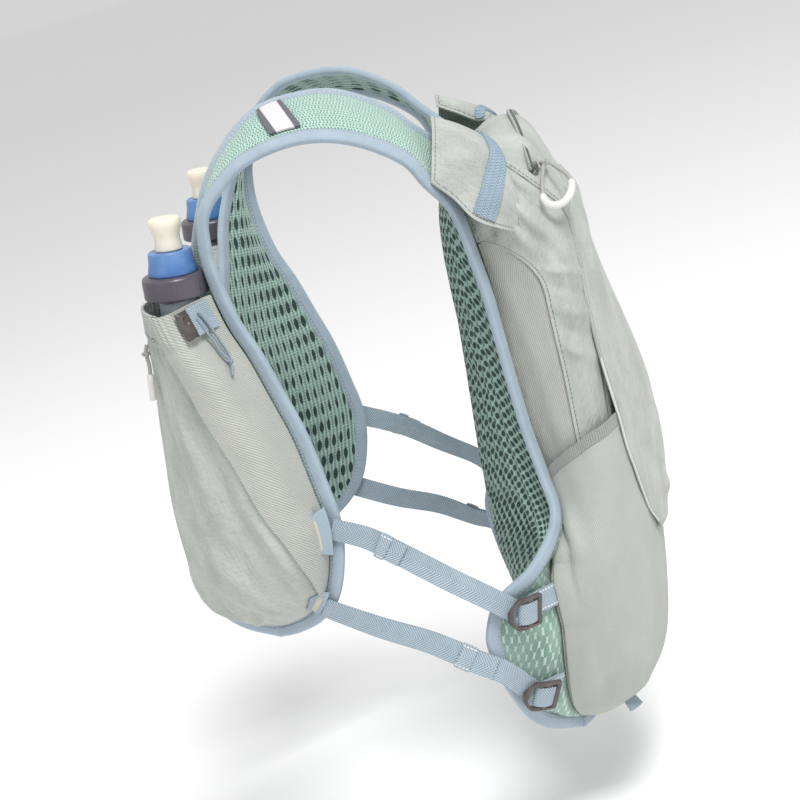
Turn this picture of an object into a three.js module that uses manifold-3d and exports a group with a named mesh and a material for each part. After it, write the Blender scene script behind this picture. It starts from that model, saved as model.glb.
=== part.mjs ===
// A running hydration vest: two mesh chest panels with soft flasks in their pockets,
// a mesh back panel under a cloth pack, and webbing side straps in ladder-lock buckles.
// Millimetres, +Z up. The origin is the seat of the straps on the shoulders, on the
// mid-plane. The chest faces -Y and the wearer's left is +X.
import * as THREE from "three";
import { mergeVertices } from "three/addons/utils/BufferGeometryUtils.js";
import Module from "manifold-3d";

const wasm = await Module();
wasm.setup();

// The whole vest
const vest_height = 484; // from the shoulder seat down to the bottom hem
const front_reach = 197; // from the shoulder seat forward to the pockets' faces
const rear_reach = 148; // from the shoulder seat back to the pack's rear
const half_width = 135; // from the mid-plane out to the side straps

// Mesh, cloth and tape
const mesh_thickness = 4;
const panel_crown = 3;
const cloth_thickness = 1.4;
const binding_width = 9;
const binding_thickness = 6;
const webbing_width = 15.5;
const webbing_thickness = 1.6;
const seam_gap = 0.3;
const edge_ease = 1; // from a tape to the mesh that it binds
const panel_ease = 1; // lets a flat tape or cloth cross a curved panel

// Soft flasks
const flask_width = 49;
const flask_depth = 38;
const flask_length = 176;
const cap_radius = 21.3;
const cap_height = 15;
const collar_radius = 15;
const collar_height = 15;
const valve_radius = 10;
const valve_length = 21;

// Pockets and pack
const pocket_bulge = 54;
const flask_dent = 8; // the flask's head presses the mesh towards the wearer
const pocket_overhang = 13;
const pocket_shift = 10; // how far its mouth leans to the arm side
const side_pocket_ease = 4;
const flap_lift = 1.5;
const zip_width = 5;
const zip_thickness = 1.6;

// Small parts
const label_width = 15;
const label_thickness = 1.2;
const keeper_length = 10;
const keeper_thickness = 2.6;
const patch_length = 30;
const patch_width = 7.5;
const buckle_length = 27;
const buckle_width = 23;
const buckle_thickness = 3.2;
const buckle_bar = 3.4;
const lock_length = 15;
const lock_width = 10;
const lock_thickness = 4;
const cord_diameter = 2.6;
const drawcord_diameter = 2;
const cord_sides = 8;
const pull_diameter = 5;
const clasp_length = 24;
const clasp_width = 19;
const clasp_thickness = 7;
const tab_length = 8;
const slider_length = 7;
const slider_width = 6;
const slider_thickness = 3.5;

const ripstop = cloth(0xb7beb9);
const stretch = cloth(0xb4b7b0);
const knit = cloth(0xa9aea8);
const mesh_cloth = cloth(0x8fb3a6);
const tape = cloth(0x9fb2c0);
const webbing = cloth(0x8da2b2);
const label_cloth = cloth(0xdedbde);
const flask_film = finish(0xc4cfd8, 0.25);
const cap_plastic = finish(0x4a464e, 0.45);
const collar_plastic = finish(0x4f7fc0, 0.35);
const valve_rubber = finish(0xe2dfd0, 0.5);
const buckle_plastic = finish(0x5a504e, 0.4);
const pull_plastic = finish(0xc9c7c4, 0.5);

function finish(colour, roughness) {
  return new THREE.MeshStandardMaterial({ color: colour, roughness, metalness: 0 });
}

function cloth(colour) {
  return finish(colour, 0.9);
}

// Rows give shares of the named sizes: out of half_width, aft of rear_reach
// (of front_reach where it is negative) and down of vest_height.
function place(row) {
  const reach = row.aft > 0 ? rear_reach : front_reach;
  return new THREE.Vector3(row.out * half_width, row.aft * reach, -row.down * vest_height);
}

function smooth(points) {
  return new THREE.CatmullRomCurve3(points, false, "catmullrom", 0.5);
}

// Away from the wearer: the body is a rounded column under a domed pair of shoulders.
const body_centre = place({ out: 0, aft: -0.25, down: 0.2 });
const body_radii = new THREE.Vector3(0.93 * half_width, 0.5 * front_reach, 0.17 * vest_height);

function outward(p) {
  const d = p.clone().sub(body_centre);
  d.z = Math.max(0, d.z);
  return d.divide(body_radii).divide(body_radii).normalize();
}

function alongCurve(curve, t) {
  return curve.getPoint(THREE.MathUtils.clamp(t, 0, 1));
}

function heading(curve, t) {
  const step = 1e-3;
  return alongCurve(curve, t + step).sub(alongCurve(curve, t - step)).normalize();
}

// The way from an edge curve into the panel that it bounds.
function inward(curve, t) {
  const p = alongCurve(curve, t);
  return heading(curve, t).cross(outward(p)).normalize();
}

function mix(a, b, share) {
  return a.clone().lerp(b, share);
}

function tableValue(table, name, position) {
  const i = Math.min(Math.floor(position), table.length - 2);
  return THREE.MathUtils.lerp(table[i][name], table[i + 1][name], position - i);
}

// A closed sheet: surface(a, b) for a and b from 0 to 1, with the given thickness about
// it. lift moves it along its normal and pad thickens its outer face, each a number or a
// function of a and b, and keep(a, b) says which of its cells are made.
function sheet(surface, rows, columns, thickness, options = {}) {
  const { lift = 0, pad = 0, keep = () => true, normal = null } = options;
  const value = (number, a, b) => (typeof number === "function" ? number(a, b) : number);
  const points = [];
  for (let i = 0; i <= rows; i++) {
    points.push([]);
    for (let j = 0; j <= columns; j++) points[i].push(surface(i / rows, j / columns));
  }
  const at = (i, j) => points[THREE.MathUtils.clamp(i, 0, rows)][THREE.MathUtils.clamp(j, 0, columns)];
  const faces = [[], []];
  for (let i = 0; i <= rows; i++) {
    faces.forEach((face) => face.push([]));
    for (let j = 0; j <= columns; j++) {
      const p = at(i, j);
      const own = at(i + 1, j).clone().sub(at(i - 1, j)).cross(at(i, j + 1).clone().sub(at(i, j - 1)));
      const n = normal ? normal(p, own.normalize(), i / rows, j / columns) : own.normalize();
      const rise = value(lift, i / rows, j / columns);
      const top = rise + thickness / 2 + value(pad, i / rows, j / columns);
      faces[0][i].push(p.clone().addScaledVector(n, rise - thickness / 2));
      faces[1][i].push(p.clone().addScaledVector(n, top));
    }
  }
  const kept = (i, j) =>
    i >= 0 && j >= 0 && i < rows && j < columns && keep((i + 0.5) / rows, (j + 0.5) / columns);
  const quads = [];
  for (let i = 0; i < rows; i++)
    for (let j = 0; j < columns; j++) {
      if (!kept(i, j)) continue;
      const corner = (side, di, dj) => faces[side][i + di][j + dj];
      quads.push([corner(1, 0, 0), corner(1, 1, 0), corner(1, 1, 1), corner(1, 0, 1)]);
      quads.push([corner(0, 0, 0), corner(0, 0, 1), corner(0, 1, 1), corner(0, 1, 0)]);
      const wall = (a, b) =>
        quads.push([corner(1, ...b), corner(1, ...a), corner(0, ...a), corner(0, ...b)]);
      if (!kept(i - 1, j)) wall([0, 1], [0, 0]);
      if (!kept(i + 1, j)) wall([1, 0], [1, 1]);
      if (!kept(i, j - 1)) wall([0, 0], [1, 0]);
      if (!kept(i, j + 1)) wall([1, 1], [0, 1]);
    }
  return closed(quads);
}

// A tube through rings of points, closed by a fan at each end.
function loft(rings) {
  const quads = [];
  const sides = rings[0].length;
  for (let k = 0; k + 1 < rings.length; k++)
    for (let i = 0; i < sides; i++) {
      const j = (i + 1) % sides;
      quads.push([rings[k][i], rings[k][j], rings[k + 1][j], rings[k + 1][i]]);
    }
  const fan = (ring, turn) => {
    const middle = ring.reduce((sum, p) => sum.add(p), new THREE.Vector3()).divideScalar(sides);
    for (let i = 0; i < sides; i++) {
      const next = ring[(i + 1) % sides];
      quads.push(turn ? [middle, next, ring[i]] : [middle, ring[i], next]);
    }
  };
  fan(rings[0], true);
  fan(rings[rings.length - 1], false);
  return closed(quads);
}

function closed(polygons) {
  const values = [];
  let volume = 0;
  for (const polygon of polygons)
    for (let k = 1; k + 1 < polygon.length; k++) {
      const [a, b, c] = [polygon[0], polygon[k], polygon[k + 1]];
      volume += a.dot(b.clone().cross(c));
      values.push([a, b, c]);
    }
  const numbers = values.flatMap(([a, b, c]) =>
    (volume > 0 ? [a, b, c] : [a, c, b]).flatMap((p) => [p.x, p.y, p.z]),
  );
  const geometry = new THREE.BufferGeometry();
  geometry.setAttribute("position", new THREE.Float32BufferAttribute(numbers, 3));
  geometry.computeVertexNormals();
  return geometry;
}

// A straight-sided round section of the given radii about a centre.
function ring(centre, across, up, radius_across, radius_up, sides, squareness = 1) {
  return Array.from({ length: sides }, (_, i) => {
    const angle = (i / sides) * 2 * Math.PI;
    const c = Math.cos(angle);
    const s = Math.sin(angle);
    return centre
      .clone()
      .addScaledVector(across, radius_across * Math.sign(c) * Math.abs(c) ** squareness)
      .addScaledVector(up, radius_up * Math.sign(s) * Math.abs(s) ** squareness);
  });
}

// A round tube along hand-chosen points, with a step of about three of its diameters.
// swell(t) multiplies its radius.
function tube(points, diameter, swell = () => 1) {
  const curve = smooth(points);
  const steps = Math.round(curve.getLength() / (3 * diameter));
  const frames = curve.computeFrenetFrames(steps, false);
  return loft(
    frames.normals.map((normal, i) => {
      const radius = (diameter / 2) * swell(i / steps);
      return ring(curve.getPointAt(i / steps), normal, frames.binormals[i], radius, radius, cord_sides);
    }),
  );
}

function solid(geometry) {
  const bare = new THREE.BufferGeometry();
  bare.setAttribute("position", geometry.getAttribute("position"));
  if (geometry.index) bare.setIndex(geometry.index);
  const merged = mergeVertices(bare, 1e-3);
  return new wasm.Manifold(
    new wasm.Mesh({
      numProp: 3,
      vertProperties: merged.attributes.position.array,
      triVerts: new Uint32Array(merged.index.array),
    }),
  );
}

function joined(...geometries) {
  const mesh = wasm.Manifold.union(geometries.map(solid)).getMesh();
  const geometry = new THREE.BufferGeometry();
  geometry.setAttribute("position", new THREE.BufferAttribute(mesh.vertProperties, 3));
  geometry.setIndex(new THREE.BufferAttribute(mesh.triVerts, 1));
  geometry.computeVertexNormals();
  return geometry;
}

function ball(centre, radius) {
  return new THREE.SphereGeometry(radius, 6, 4).translate(centre.x, centre.y, centre.z);
}

const vest = new THREE.Group();

function add(name, geometry, material) {
  const mesh = new THREE.Mesh(geometry, material);
  mesh.name = name;
  vest.add(mesh);
}

// A piece is made for the wearer's left and mirrored for the right.
function addSide(name, side, geometry, material) {
  const mesh = new THREE.Mesh(geometry, material);
  mesh.name = name + side;
  if (side === "right") mesh.scale.x = -1;
  vest.add(mesh);
}

function addPair(name, geometry, material) {
  for (const side of ["left", "right"]) addSide(name + "_", side, geometry, material);
}

// Shoulder straps and chest panels: the two edges of the mesh, from the yoke behind the
// shoulder, over it and down the chest to the panel's tip.
const arm_edge = [
  { out: 0.72, aft: 0.348, down: 0.177 },
  { out: 0.787, aft: 0.287, down: 0.141 },
  { out: 0.833, aft: 0.22, down: 0.1 },
  { out: 0.88, aft: 0.043, down: 0.058 },
  { out: 0.9, aft: -0.119, down: 0.039 },
  { out: 0.9, aft: -0.288, down: 0.045 },
  { out: 0.873, aft: -0.406, down: 0.071 },
  { out: 0.853, aft: -0.475, down: 0.097 },
  { out: 0.833, aft: -0.502, down: 0.13 },
  { out: 0.82, aft: -0.511, down: 0.178 },
  { out: 0.813, aft: -0.493, down: 0.243 },
  { out: 0.82, aft: -0.452, down: 0.297 },
  { out: 0.833, aft: -0.42, down: 0.353 },
  { out: 0.853, aft: -0.384, down: 0.418 },
  { out: 0.88, aft: -0.365, down: 0.487 },
  { out: 0.9, aft: -0.356, down: 0.546 },
  { out: 0.907, aft: -0.384, down: 0.604 },
  { out: 0.893, aft: -0.443, down: 0.658 },
  { out: 0.847, aft: -0.525, down: 0.69 },
  { out: 0.773, aft: -0.621, down: 0.708 },
  { out: 0.7, aft: -0.703, down: 0.716 },
];
const neck_edge = [
  { out: 0.347, aft: 0.378, down: 0.108 },
  { out: 0.387, aft: 0.28, down: 0.074 },
  { out: 0.413, aft: 0.189, down: 0.039 },
  { out: 0.453, aft: 0.018, down: 0.002 },
  { out: 0.48, aft: -0.11, down: -0.011 },
  { out: 0.533, aft: -0.26, down: -0.009 },
  { out: 0.573, aft: -0.384, down: 0.019 },
  { out: 0.573, aft: -0.489, down: 0.063 },
  { out: 0.533, aft: -0.565, down: 0.115 },
  { out: 0.453, aft: -0.63, down: 0.171 },
  { out: 0.387, aft: -0.667, down: 0.232 },
  { out: 0.333, aft: -0.712, down: 0.297 },
  { out: 0.3, aft: -0.75, down: 0.362 },
  { out: 0.287, aft: -0.79, down: 0.428 },
  { out: 0.287, aft: -0.836, down: 0.494 },
  { out: 0.3, aft: -0.886, down: 0.558 },
  { out: 0.347, aft: -0.936, down: 0.613 },
  { out: 0.413, aft: -0.954, down: 0.654 },
  { out: 0.493, aft: -0.913, down: 0.684 },
  { out: 0.587, aft: -0.831, down: 0.704 },
  { out: 0.7, aft: -0.703, down: 0.716 },
];
const stations = arm_edge.length - 1;
const arm_curve = smooth(arm_edge.map(place));
const neck_curve = smooth(neck_edge.map(place));
const inset = binding_width + edge_ease;

// The chest panel's mesh between its bindings: t along, u from the arm to the neck side.
function chest(t, u) {
  const arm = alongCurve(arm_curve, t).addScaledVector(inward(arm_curve, t), inset);
  const neck = alongCurve(neck_curve, t).addScaledVector(inward(neck_curve, t), -inset);
  const p = mix(arm, neck, u);
  const crown = Math.min(0.06 * arm.distanceTo(neck), panel_crown) - dent(t);
  return p.addScaledVector(outward(p), crown * 4 * u * (1 - u));
}

const dent_row = 0.455;
const dent_reach = 0.11;
function dent(t) {
  return flask_dent * Math.exp(-(((t - dent_row) / dent_reach) ** 2));
}

function edgeBand(curve, from, to, side) {
  return (a, b) => {
    const t = THREE.MathUtils.lerp(from, to, a);
    return alongCurve(curve, t).addScaledVector(inward(curve, t), side * b * binding_width);
  };
}

const panel_end = (stations - 0.5) / stations;
addPair(
  "harness_panel",
  sheet((a, b) => chest(THREE.MathUtils.lerp(0.006, panel_end, a), b), 25, 4, mesh_thickness, {
    normal: outward,
  }),
  mesh_cloth,
);

// Back panel: each row runs from the armhole edge over a knee to the mid-plane.
const back_rows = [
  { edgeOut: 0.72, edgeAft: 0.348, edgeDown: 0.177, kneeOut: 0.36, kneeAft: 0.384, kneeDown: 0.115, midAft: 0.39, midDown: 0.156 },
  { edgeOut: 0.693, edgeAft: 0.372, edgeDown: 0.21, kneeOut: 0.4, kneeAft: 0.354, kneeDown: 0.19, midAft: 0.305, midDown: 0.197 },
  { edgeOut: 0.653, edgeAft: 0.384, edgeDown: 0.258, kneeOut: 0.373, kneeAft: 0.329, kneeDown: 0.257, midAft: 0.262, midDown: 0.257 },
  { edgeOut: 0.62, edgeAft: 0.396, edgeDown: 0.316, kneeOut: 0.36, kneeAft: 0.317, kneeDown: 0.316, midAft: 0.244, midDown: 0.316 },
  { edgeOut: 0.6, edgeAft: 0.396, edgeDown: 0.375, kneeOut: 0.347, kneeAft: 0.311, kneeDown: 0.377, midAft: 0.232, midDown: 0.379 },
  { edgeOut: 0.587, edgeAft: 0.396, edgeDown: 0.446, kneeOut: 0.347, kneeAft: 0.305, kneeDown: 0.448, midAft: 0.207, midDown: 0.45 },
  { edgeOut: 0.593, edgeAft: 0.402, edgeDown: 0.52, kneeOut: 0.36, kneeAft: 0.293, kneeDown: 0.522, midAft: 0.177, midDown: 0.524 },
  { edgeOut: 0.613, edgeAft: 0.421, edgeDown: 0.586, kneeOut: 0.387, kneeAft: 0.299, kneeDown: 0.591, midAft: 0.152, midDown: 0.595 },
  { edgeOut: 0.693, edgeAft: 0.427, edgeDown: 0.641, kneeOut: 0.453, kneeAft: 0.317, kneeDown: 0.651, midAft: 0.134, midDown: 0.658 },
  { edgeOut: 0.853, edgeAft: 0.293, edgeDown: 0.682, kneeOut: 0.56, kneeAft: 0.345, kneeDown: 0.699, midAft: 0.122, midDown: 0.71 },
  { edgeOut: 0.947, edgeAft: 0.104, edgeDown: 0.71, kneeOut: 0.64, kneeAft: 0.345, kneeDown: 0.74, midAft: 0.122, midDown: 0.755 },
  { edgeOut: 0.973, edgeAft: 0.018, edgeDown: 0.753, kneeOut: 0.667, kneeAft: 0.335, kneeDown: 0.781, midAft: 0.134, midDown: 0.799 },
  { edgeOut: 0.967, edgeAft: 0.006, edgeDown: 0.788, kneeOut: 0.667, kneeAft: 0.317, kneeDown: 0.818, midAft: 0.152, midDown: 0.84 },
  { edgeOut: 0.92, edgeAft: 0.018, edgeDown: 0.836, kneeOut: 0.653, kneeAft: 0.293, kneeDown: 0.861, midAft: 0.177, midDown: 0.883 },
  { edgeOut: 0.853, edgeAft: 0.049, edgeDown: 0.885, kneeOut: 0.62, kneeAft: 0.274, kneeDown: 0.903, midAft: 0.213, midDown: 0.924 },
  { edgeOut: 0.767, edgeAft: 0.091, edgeDown: 0.928, kneeOut: 0.56, kneeAft: 0.268, kneeDown: 0.942, midAft: 0.256, midDown: 0.957 },
  { edgeOut: 0.653, edgeAft: 0.165, edgeDown: 0.963, kneeOut: 0.467, kneeAft: 0.299, kneeDown: 0.974, midAft: 0.317, midDown: 0.981 },
  { edgeOut: 0.48, edgeAft: 0.293, edgeDown: 0.996, kneeOut: 0.333, kneeAft: 0.354, kneeDown: 1, midAft: 0.378, midDown: 1 },
];
const back_stations = back_rows.length - 1;
const back_edge = smooth(
  back_rows.map((r) => place({ out: r.edgeOut, aft: r.edgeAft, down: r.edgeDown })),
);
const back_knee = smooth(
  back_rows.map((r) => place({ out: r.kneeOut, aft: r.kneeAft, down: r.kneeDown })),
);
const back_mid = smooth(back_rows.map((r) => place({ out: 0, aft: r.midAft, down: r.midDown })));

function mirrored(p) {
  return new THREE.Vector3(-p.x, p.y, p.z);
}

// u runs from the left armhole edge (0) over the mid-plane (0.5) to the right one (1). Where
// the tape turns onto the wing, the mesh keeps a little farther from it.
const wing_corner = 0.49;
const wing_ease = 1.5;
function backPoint(t, u) {
  const ease = wing_ease * Math.exp(-(((t - wing_corner) / 0.05) ** 2));
  const edge = alongCurve(back_edge, t).addScaledVector(inward(back_edge, t), -inset - ease);
  const knee = alongCurve(back_knee, t);
  return smooth([edge, knee, alongCurve(back_mid, t), mirrored(knee), mirrored(edge)]).getPoint(u);
}

const hem_rise = binding_width + 2.4 * edge_ease; // the mesh ends above the hem's tape
add(
  "back_panel",
  sheet(
    (a, b) => {
      const p = backPoint(a, b);
      p.z += hem_rise * THREE.MathUtils.smoothstep(a, 0.8, 1);
      return p;
    },
    22,
    12,
    mesh_thickness,
    {
      normal: (p, own, a, b) =>
        own.lerp(outward(p), THREE.MathUtils.smoothstep(Math.abs(2 * b - 1), 0.7, 1)).normalize(),
    },
  ),
  mesh_cloth,
);

// One tape binds the armhole, from the hem up the back, over the shoulder and down the
// chest to the panel's tip. A second one binds the neck side, and a third the hem.
const armhole_curve = smooth([
  ...back_rows
    .slice(1)
    .reverse()
    .map((r) => place({ out: r.edgeOut, aft: r.edgeAft, down: r.edgeDown })),
  ...arm_edge.map(place),
]);
const tape_options = { normal: outward };
addPair(
  "armhole_binding",
  sheet(edgeBand(armhole_curve, 0.004, 0.9965, 1), 70, 1, binding_thickness, tape_options),
  tape,
);
addPair(
  "neck_binding",
  sheet(edgeBand(neck_curve, 0, 0.9935, -1), 32, 1, binding_thickness, tape_options),
  tape,
);
const hem_curve = smooth([
  place({ out: 0.48, aft: 0.293, down: 0.996 }),
  place({ out: 0.333, aft: 0.354, down: 1 }),
  place({ out: 0, aft: 0.378, down: 1 }),
  place({ out: -0.333, aft: 0.354, down: 1 }),
  place({ out: -0.48, aft: 0.293, down: 0.996 }),
]);
add(
  "hem_binding",
  sheet(
    (a, b) => {
      const p = alongCurve(hem_curve, a);
      return p.add(new THREE.Vector3(0, 0, b * binding_width));
    },
    12,
    1,
    binding_thickness,
    tape_options,
  ),
  tape,
);

// Front pockets: a bag on the chest panel round a soft flask. f runs from the arm side (0)
// to the neck side (1), and height stands off the panel's mesh.
const pocket_rows = [
  { along: 0.47, bulge: 0.84, over: 1, shift: 1, swell: 0.5, seam: 0.34 },
  { along: 0.54, bulge: 0.91, over: 1, shift: 0.9, swell: 0.55, seam: 0.33 },
  { along: 0.62, bulge: 0.98, over: 0.8, shift: 0.7, swell: 0.65, seam: 0.28 },
  { along: 0.7, bulge: 0.97, over: 0.6, shift: 0.4, swell: 0.7, seam: 0.22 },
  { along: 0.77, bulge: 0.85, over: 0.3, shift: 0.2, swell: 0.8, seam: 0.15 },
  { along: 0.83, bulge: 0.62, over: 0, shift: 0.1, swell: 0.9, seam: 0.07 },
  { along: 0.88, bulge: 0.38, over: 0, shift: 0, swell: 1, seam: 0 },
  { along: 0.93, bulge: 0.2, over: 0, shift: 0, swell: 1, seam: 0 },
  { along: 0.965, bulge: 0.13, over: 0, shift: 0, swell: 1, seam: 0 },
];
const pocket_seat = mesh_thickness / 2 + seam_gap + cloth_thickness / 2;

// The middle of the chest panel at t, with the ways across and off it.
function chestFrame(t) {
  const arm = chest(t, 0);
  const neck = chest(t, 1);
  const across = neck.clone().sub(arm);
  const width = across.length();
  across.divideScalar(width);
  const middle = mix(arm, neck, 0.5);
  const off = outward(middle);
  off.addScaledVector(across, -off.dot(across)).normalize();
  return { middle, across, off, width };
}

function pocketPoint(a, f) {
  const row = a * (pocket_rows.length - 1);
  const frame = chestFrame(tableValue(pocket_rows, "along", row));
  const bulge = pocket_bulge * tableValue(pocket_rows, "bulge", row);
  const overhang = pocket_overhang * tableValue(pocket_rows, "over", row);
  const side = -Math.cos(Math.PI * f);
  const swell = Math.sin(Math.PI * f) ** tableValue(pocket_rows, "swell", row);
  const across = (frame.width / 2) * side - overhang * Math.sin(2 * Math.PI * f);
  const shift = pocket_shift * tableValue(pocket_rows, "shift", row) * Math.sin(Math.PI * f);
  return frame.middle
    .addScaledVector(frame.across, across - shift)
    .addScaledVector(frame.off, pocket_seat + (bulge - pocket_seat) * swell);
}

const pocket_cells = 12;
const pocket_fold = 0.05;
addPair(
  "front_pocket",
  sheet(
    (a, b) => {
      const seam = tableValue(pocket_rows, "seam", a * (pocket_rows.length - 1));
      return pocketPoint(a, THREE.MathUtils.lerp(seam, 1, b));
    },
    pocket_cells,
    8,
    cloth_thickness,
  ),
  ripstop,
);
// The stretch panel on the arm side laps over the edge of the ripstop.
const side_cells = 7;
const pocket_lap = cloth_thickness + 1.3 * panel_ease;
addPair(
  "pocket_side",
  sheet(
    (a, b) => {
      const row = (a * side_cells) / pocket_cells;
      const seam = tableValue(pocket_rows, "seam", row * (pocket_rows.length - 1));
      return pocketPoint(row, THREE.MathUtils.lerp(0, seam + pocket_fold, b));
    },
    side_cells,
    4,
    cloth_thickness,
    { lift: (a, b) => -pocket_lap * Math.min(1, 1.6 * b) },
  ),
  stretch,
);

// Soft flasks follow their pockets, with the screw cap, collar and bite valve upright.
const flask_ease = 0.8;
const head_seat = mesh_thickness / 2 + panel_crown + 3.6 * flask_ease + cap_radius;
const head_lean = 0.14; // back towards the shoulder, for each length upwards
const foot_seat = mesh_thickness / 2 + panel_crown + flask_ease + flask_depth / 2;
const head_shift = 5.4; // from the middle of the panel to the arm side
const foot_shift = 3;
const flask_top = 0.468;
const flask_foot = 0.8;
const flask_rows = [
  { along: 0, size: 0.62 },
  { along: 0.06, size: 0.8 },
  { along: 0.25, size: 1 },
  { along: 0.75, size: 1 },
  { along: 0.9, size: 0.9 },
  { along: 0.97, size: 0.7 },
  { along: 1, size: 0.45 },
];
const flask_sides = 12;
const flask_neck = (flask_rows[0].size * flask_width) / 2;

// press is the share of the panel's dent that the flask's head sinks into.
function flaskCentre(share, press) {
  const t = THREE.MathUtils.lerp(flask_top, flask_foot, share);
  const frame = chestFrame(t);
  const seat = THREE.MathUtils.lerp(head_seat, foot_seat, Math.min(1, 3 * share)) - press * dent(t);
  return frame.middle
    .addScaledVector(frame.off, seat)
    .addScaledVector(frame.across, -THREE.MathUtils.lerp(head_shift, foot_shift, share));
}

function flaskBody(press) {
  const head = flaskCentre(0, press);
  return loft(
    flask_rows.map((row) => {
      const frame = chestFrame(THREE.MathUtils.lerp(flask_top, flask_foot, row.along));
      const centre = flaskCentre(row.along, press);
      centre.z = head.z - row.along * flask_length;
      return ring(
        centre,
        new THREE.Vector3(frame.across.x, frame.across.y, 0).normalize(),
        new THREE.Vector3(frame.off.x, frame.off.y, 0).normalize(),
        (row.size * flask_width) / 2,
        (row.size * flask_depth) / 2,
        flask_sides,
        0.85,
      );
    }),
  );
}

function turned(rows, base, sides) {
  const profile = rows.map((row) => new THREE.Vector2(row.radius, row.height));
  const geometry = new THREE.LatheGeometry(profile, sides);
  geometry.rotateX(Math.PI / 2 - Math.atan(head_lean));
  return geometry.translate(base.x, base.y, base.z);
}

const cap_rows = [
  { radius: 0, height: 0 },
  { radius: cap_radius, height: 0 },
  { radius: cap_radius, height: 0.85 * cap_height },
  { radius: 0.9 * cap_radius, height: cap_height },
  { radius: 0, height: cap_height },
];
const collar_rows = [
  { radius: 0, height: 0 },
  { radius: 1.1 * collar_radius, height: 0 },
  { radius: collar_radius, height: 0.5 * collar_height },
  { radius: 0.95 * collar_radius, height: collar_height },
  { radius: 0, height: collar_height },
];
const valve_rows = [
  { radius: 0, height: 0 },
  { radius: 0.92 * valve_radius, height: 0 },
  { radius: 0.86 * valve_radius, height: 0.35 * valve_length },
  { radius: 1.06 * valve_radius, height: 0.8 * valve_length },
  { radius: valve_radius, height: valve_length },
  { radius: 0, height: valve_length },
];
const head_axis = new THREE.Vector3(0, head_lean, 1).normalize();
const flasks = [
  { side: "left", press: 1 },
  { side: "right", press: 0 },
];
for (const flask of flasks) {
  const cap_base = flaskCentre(0, flask.press).addScaledVector(head_axis, seam_gap + head_lean * flask_neck);
  const collar_base = cap_base.clone().addScaledVector(head_axis, cap_height + seam_gap);
  const valve_base = collar_base.clone().addScaledVector(head_axis, collar_height + seam_gap);
  const pieces = [
    { name: "flask_body_", geometry: flaskBody(flask.press), material: flask_film },
    { name: "flask_cap_", geometry: turned(cap_rows, cap_base, 20), material: cap_plastic },
    { name: "flask_collar_", geometry: turned(collar_rows, collar_base, 14), material: collar_plastic },
    { name: "bite_valve_", geometry: turned(valve_rows, valve_base, 12), material: valve_rubber },
  ];
  for (const piece of pieces) addSide(piece.name, flask.side, piece.geometry, piece.material);
}

// Pack: each row runs from its rim, seated on the back panel at a share of the way
// across, over the side and the gusset seam to the rear on the mid-plane.
const pack_rows = [
  { along: 0.03, rim: 0.16, sideOut: 0.5, sideAft: 0.46, sideDown: 0.15, seamOut: 0.33, seamAft: 0.45, seamDown: 0.14, rearAft: 0.44, rearDown: 0.155 },
  { along: 0.06, rim: 0.08, sideOut: 0.62, sideAft: 0.53, sideDown: 0.165, seamOut: 0.48, seamAft: 0.58, seamDown: 0.135, rearAft: 0.59, rearDown: 0.112 },
  { along: 0.09, rim: 0.03, sideOut: 0.65, sideAft: 0.59, sideDown: 0.198, seamOut: 0.533, seamAft: 0.707, seamDown: 0.172, rearAft: 0.756, rearDown: 0.121 },
  { along: 0.115, rim: 0.02, sideOut: 0.653, sideAft: 0.625, sideDown: 0.238, seamOut: 0.54, seamAft: 0.817, seamDown: 0.225, rearAft: 0.841, rearDown: 0.19 },
  { along: 0.145, rim: 0.02, sideOut: 0.647, sideAft: 0.652, sideDown: 0.279, seamOut: 0.547, seamAft: 0.835, seamDown: 0.268, rearAft: 0.915, rearDown: 0.238 },
  { along: 0.18, rim: 0.02, sideOut: 0.633, sideAft: 0.665, sideDown: 0.323, seamOut: 0.553, seamAft: 0.829, seamDown: 0.316, rearAft: 0.905, rearDown: 0.3 },
  { along: 0.235, rim: 0.02, sideOut: 0.62, sideAft: 0.659, sideDown: 0.381, seamOut: 0.56, seamAft: 0.817, seamDown: 0.378, rearAft: 0.93, rearDown: 0.37 },
  { along: 0.3, rim: 0.02, sideOut: 0.613, sideAft: 0.652, sideDown: 0.45, seamOut: 0.547, seamAft: 0.799, seamDown: 0.45, rearAft: 0.96, rearDown: 0.45 },
  { along: 0.36, rim: 0.02, sideOut: 0.613, sideAft: 0.634, sideDown: 0.535, seamOut: 0.527, seamAft: 0.787, seamDown: 0.535, rearAft: 0.97, rearDown: 0.539 },
  { along: 0.44, rim: 0.04, sideOut: 0.627, sideAft: 0.622, sideDown: 0.62, seamOut: 0.52, seamAft: 0.774, seamDown: 0.623, rearAft: 0.951, rearDown: 0.63 },
  { along: 0.49, rim: 0.1, sideOut: 0.65, sideAft: 0.61, sideDown: 0.668, seamOut: 0.52, seamAft: 0.765, seamDown: 0.674, rearAft: 0.93, rearDown: 0.68 },
  { along: 0.54, rim: 0.17, sideOut: 0.68, sideAft: 0.585, sideDown: 0.717, seamOut: 0.52, seamAft: 0.75, seamDown: 0.725, rearAft: 0.9, rearDown: 0.73 },
  { along: 0.68, rim: 0.22, sideOut: 0.673, sideAft: 0.54, sideDown: 0.814, seamOut: 0.513, seamAft: 0.72, seamDown: 0.825, rearAft: 0.85, rearDown: 0.83 },
  { along: 0.79, rim: 0.22, sideOut: 0.633, sideAft: 0.48, sideDown: 0.9, seamOut: 0.48, seamAft: 0.665, seamDown: 0.912, rearAft: 0.78, rearDown: 0.92 },
  { along: 0.87, rim: 0.22, sideOut: 0.56, sideAft: 0.42, sideDown: 0.95, seamOut: 0.413, seamAft: 0.57, seamDown: 0.962, rearAft: 0.67, rearDown: 0.97 },
  { along: 0.94, rim: 0.22, sideOut: 0.44, sideAft: 0.4, sideDown: 0.984, seamOut: 0.307, seamAft: 0.46, seamDown: 0.991, rearAft: 0.53, rearDown: 0.995 },
];
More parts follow.
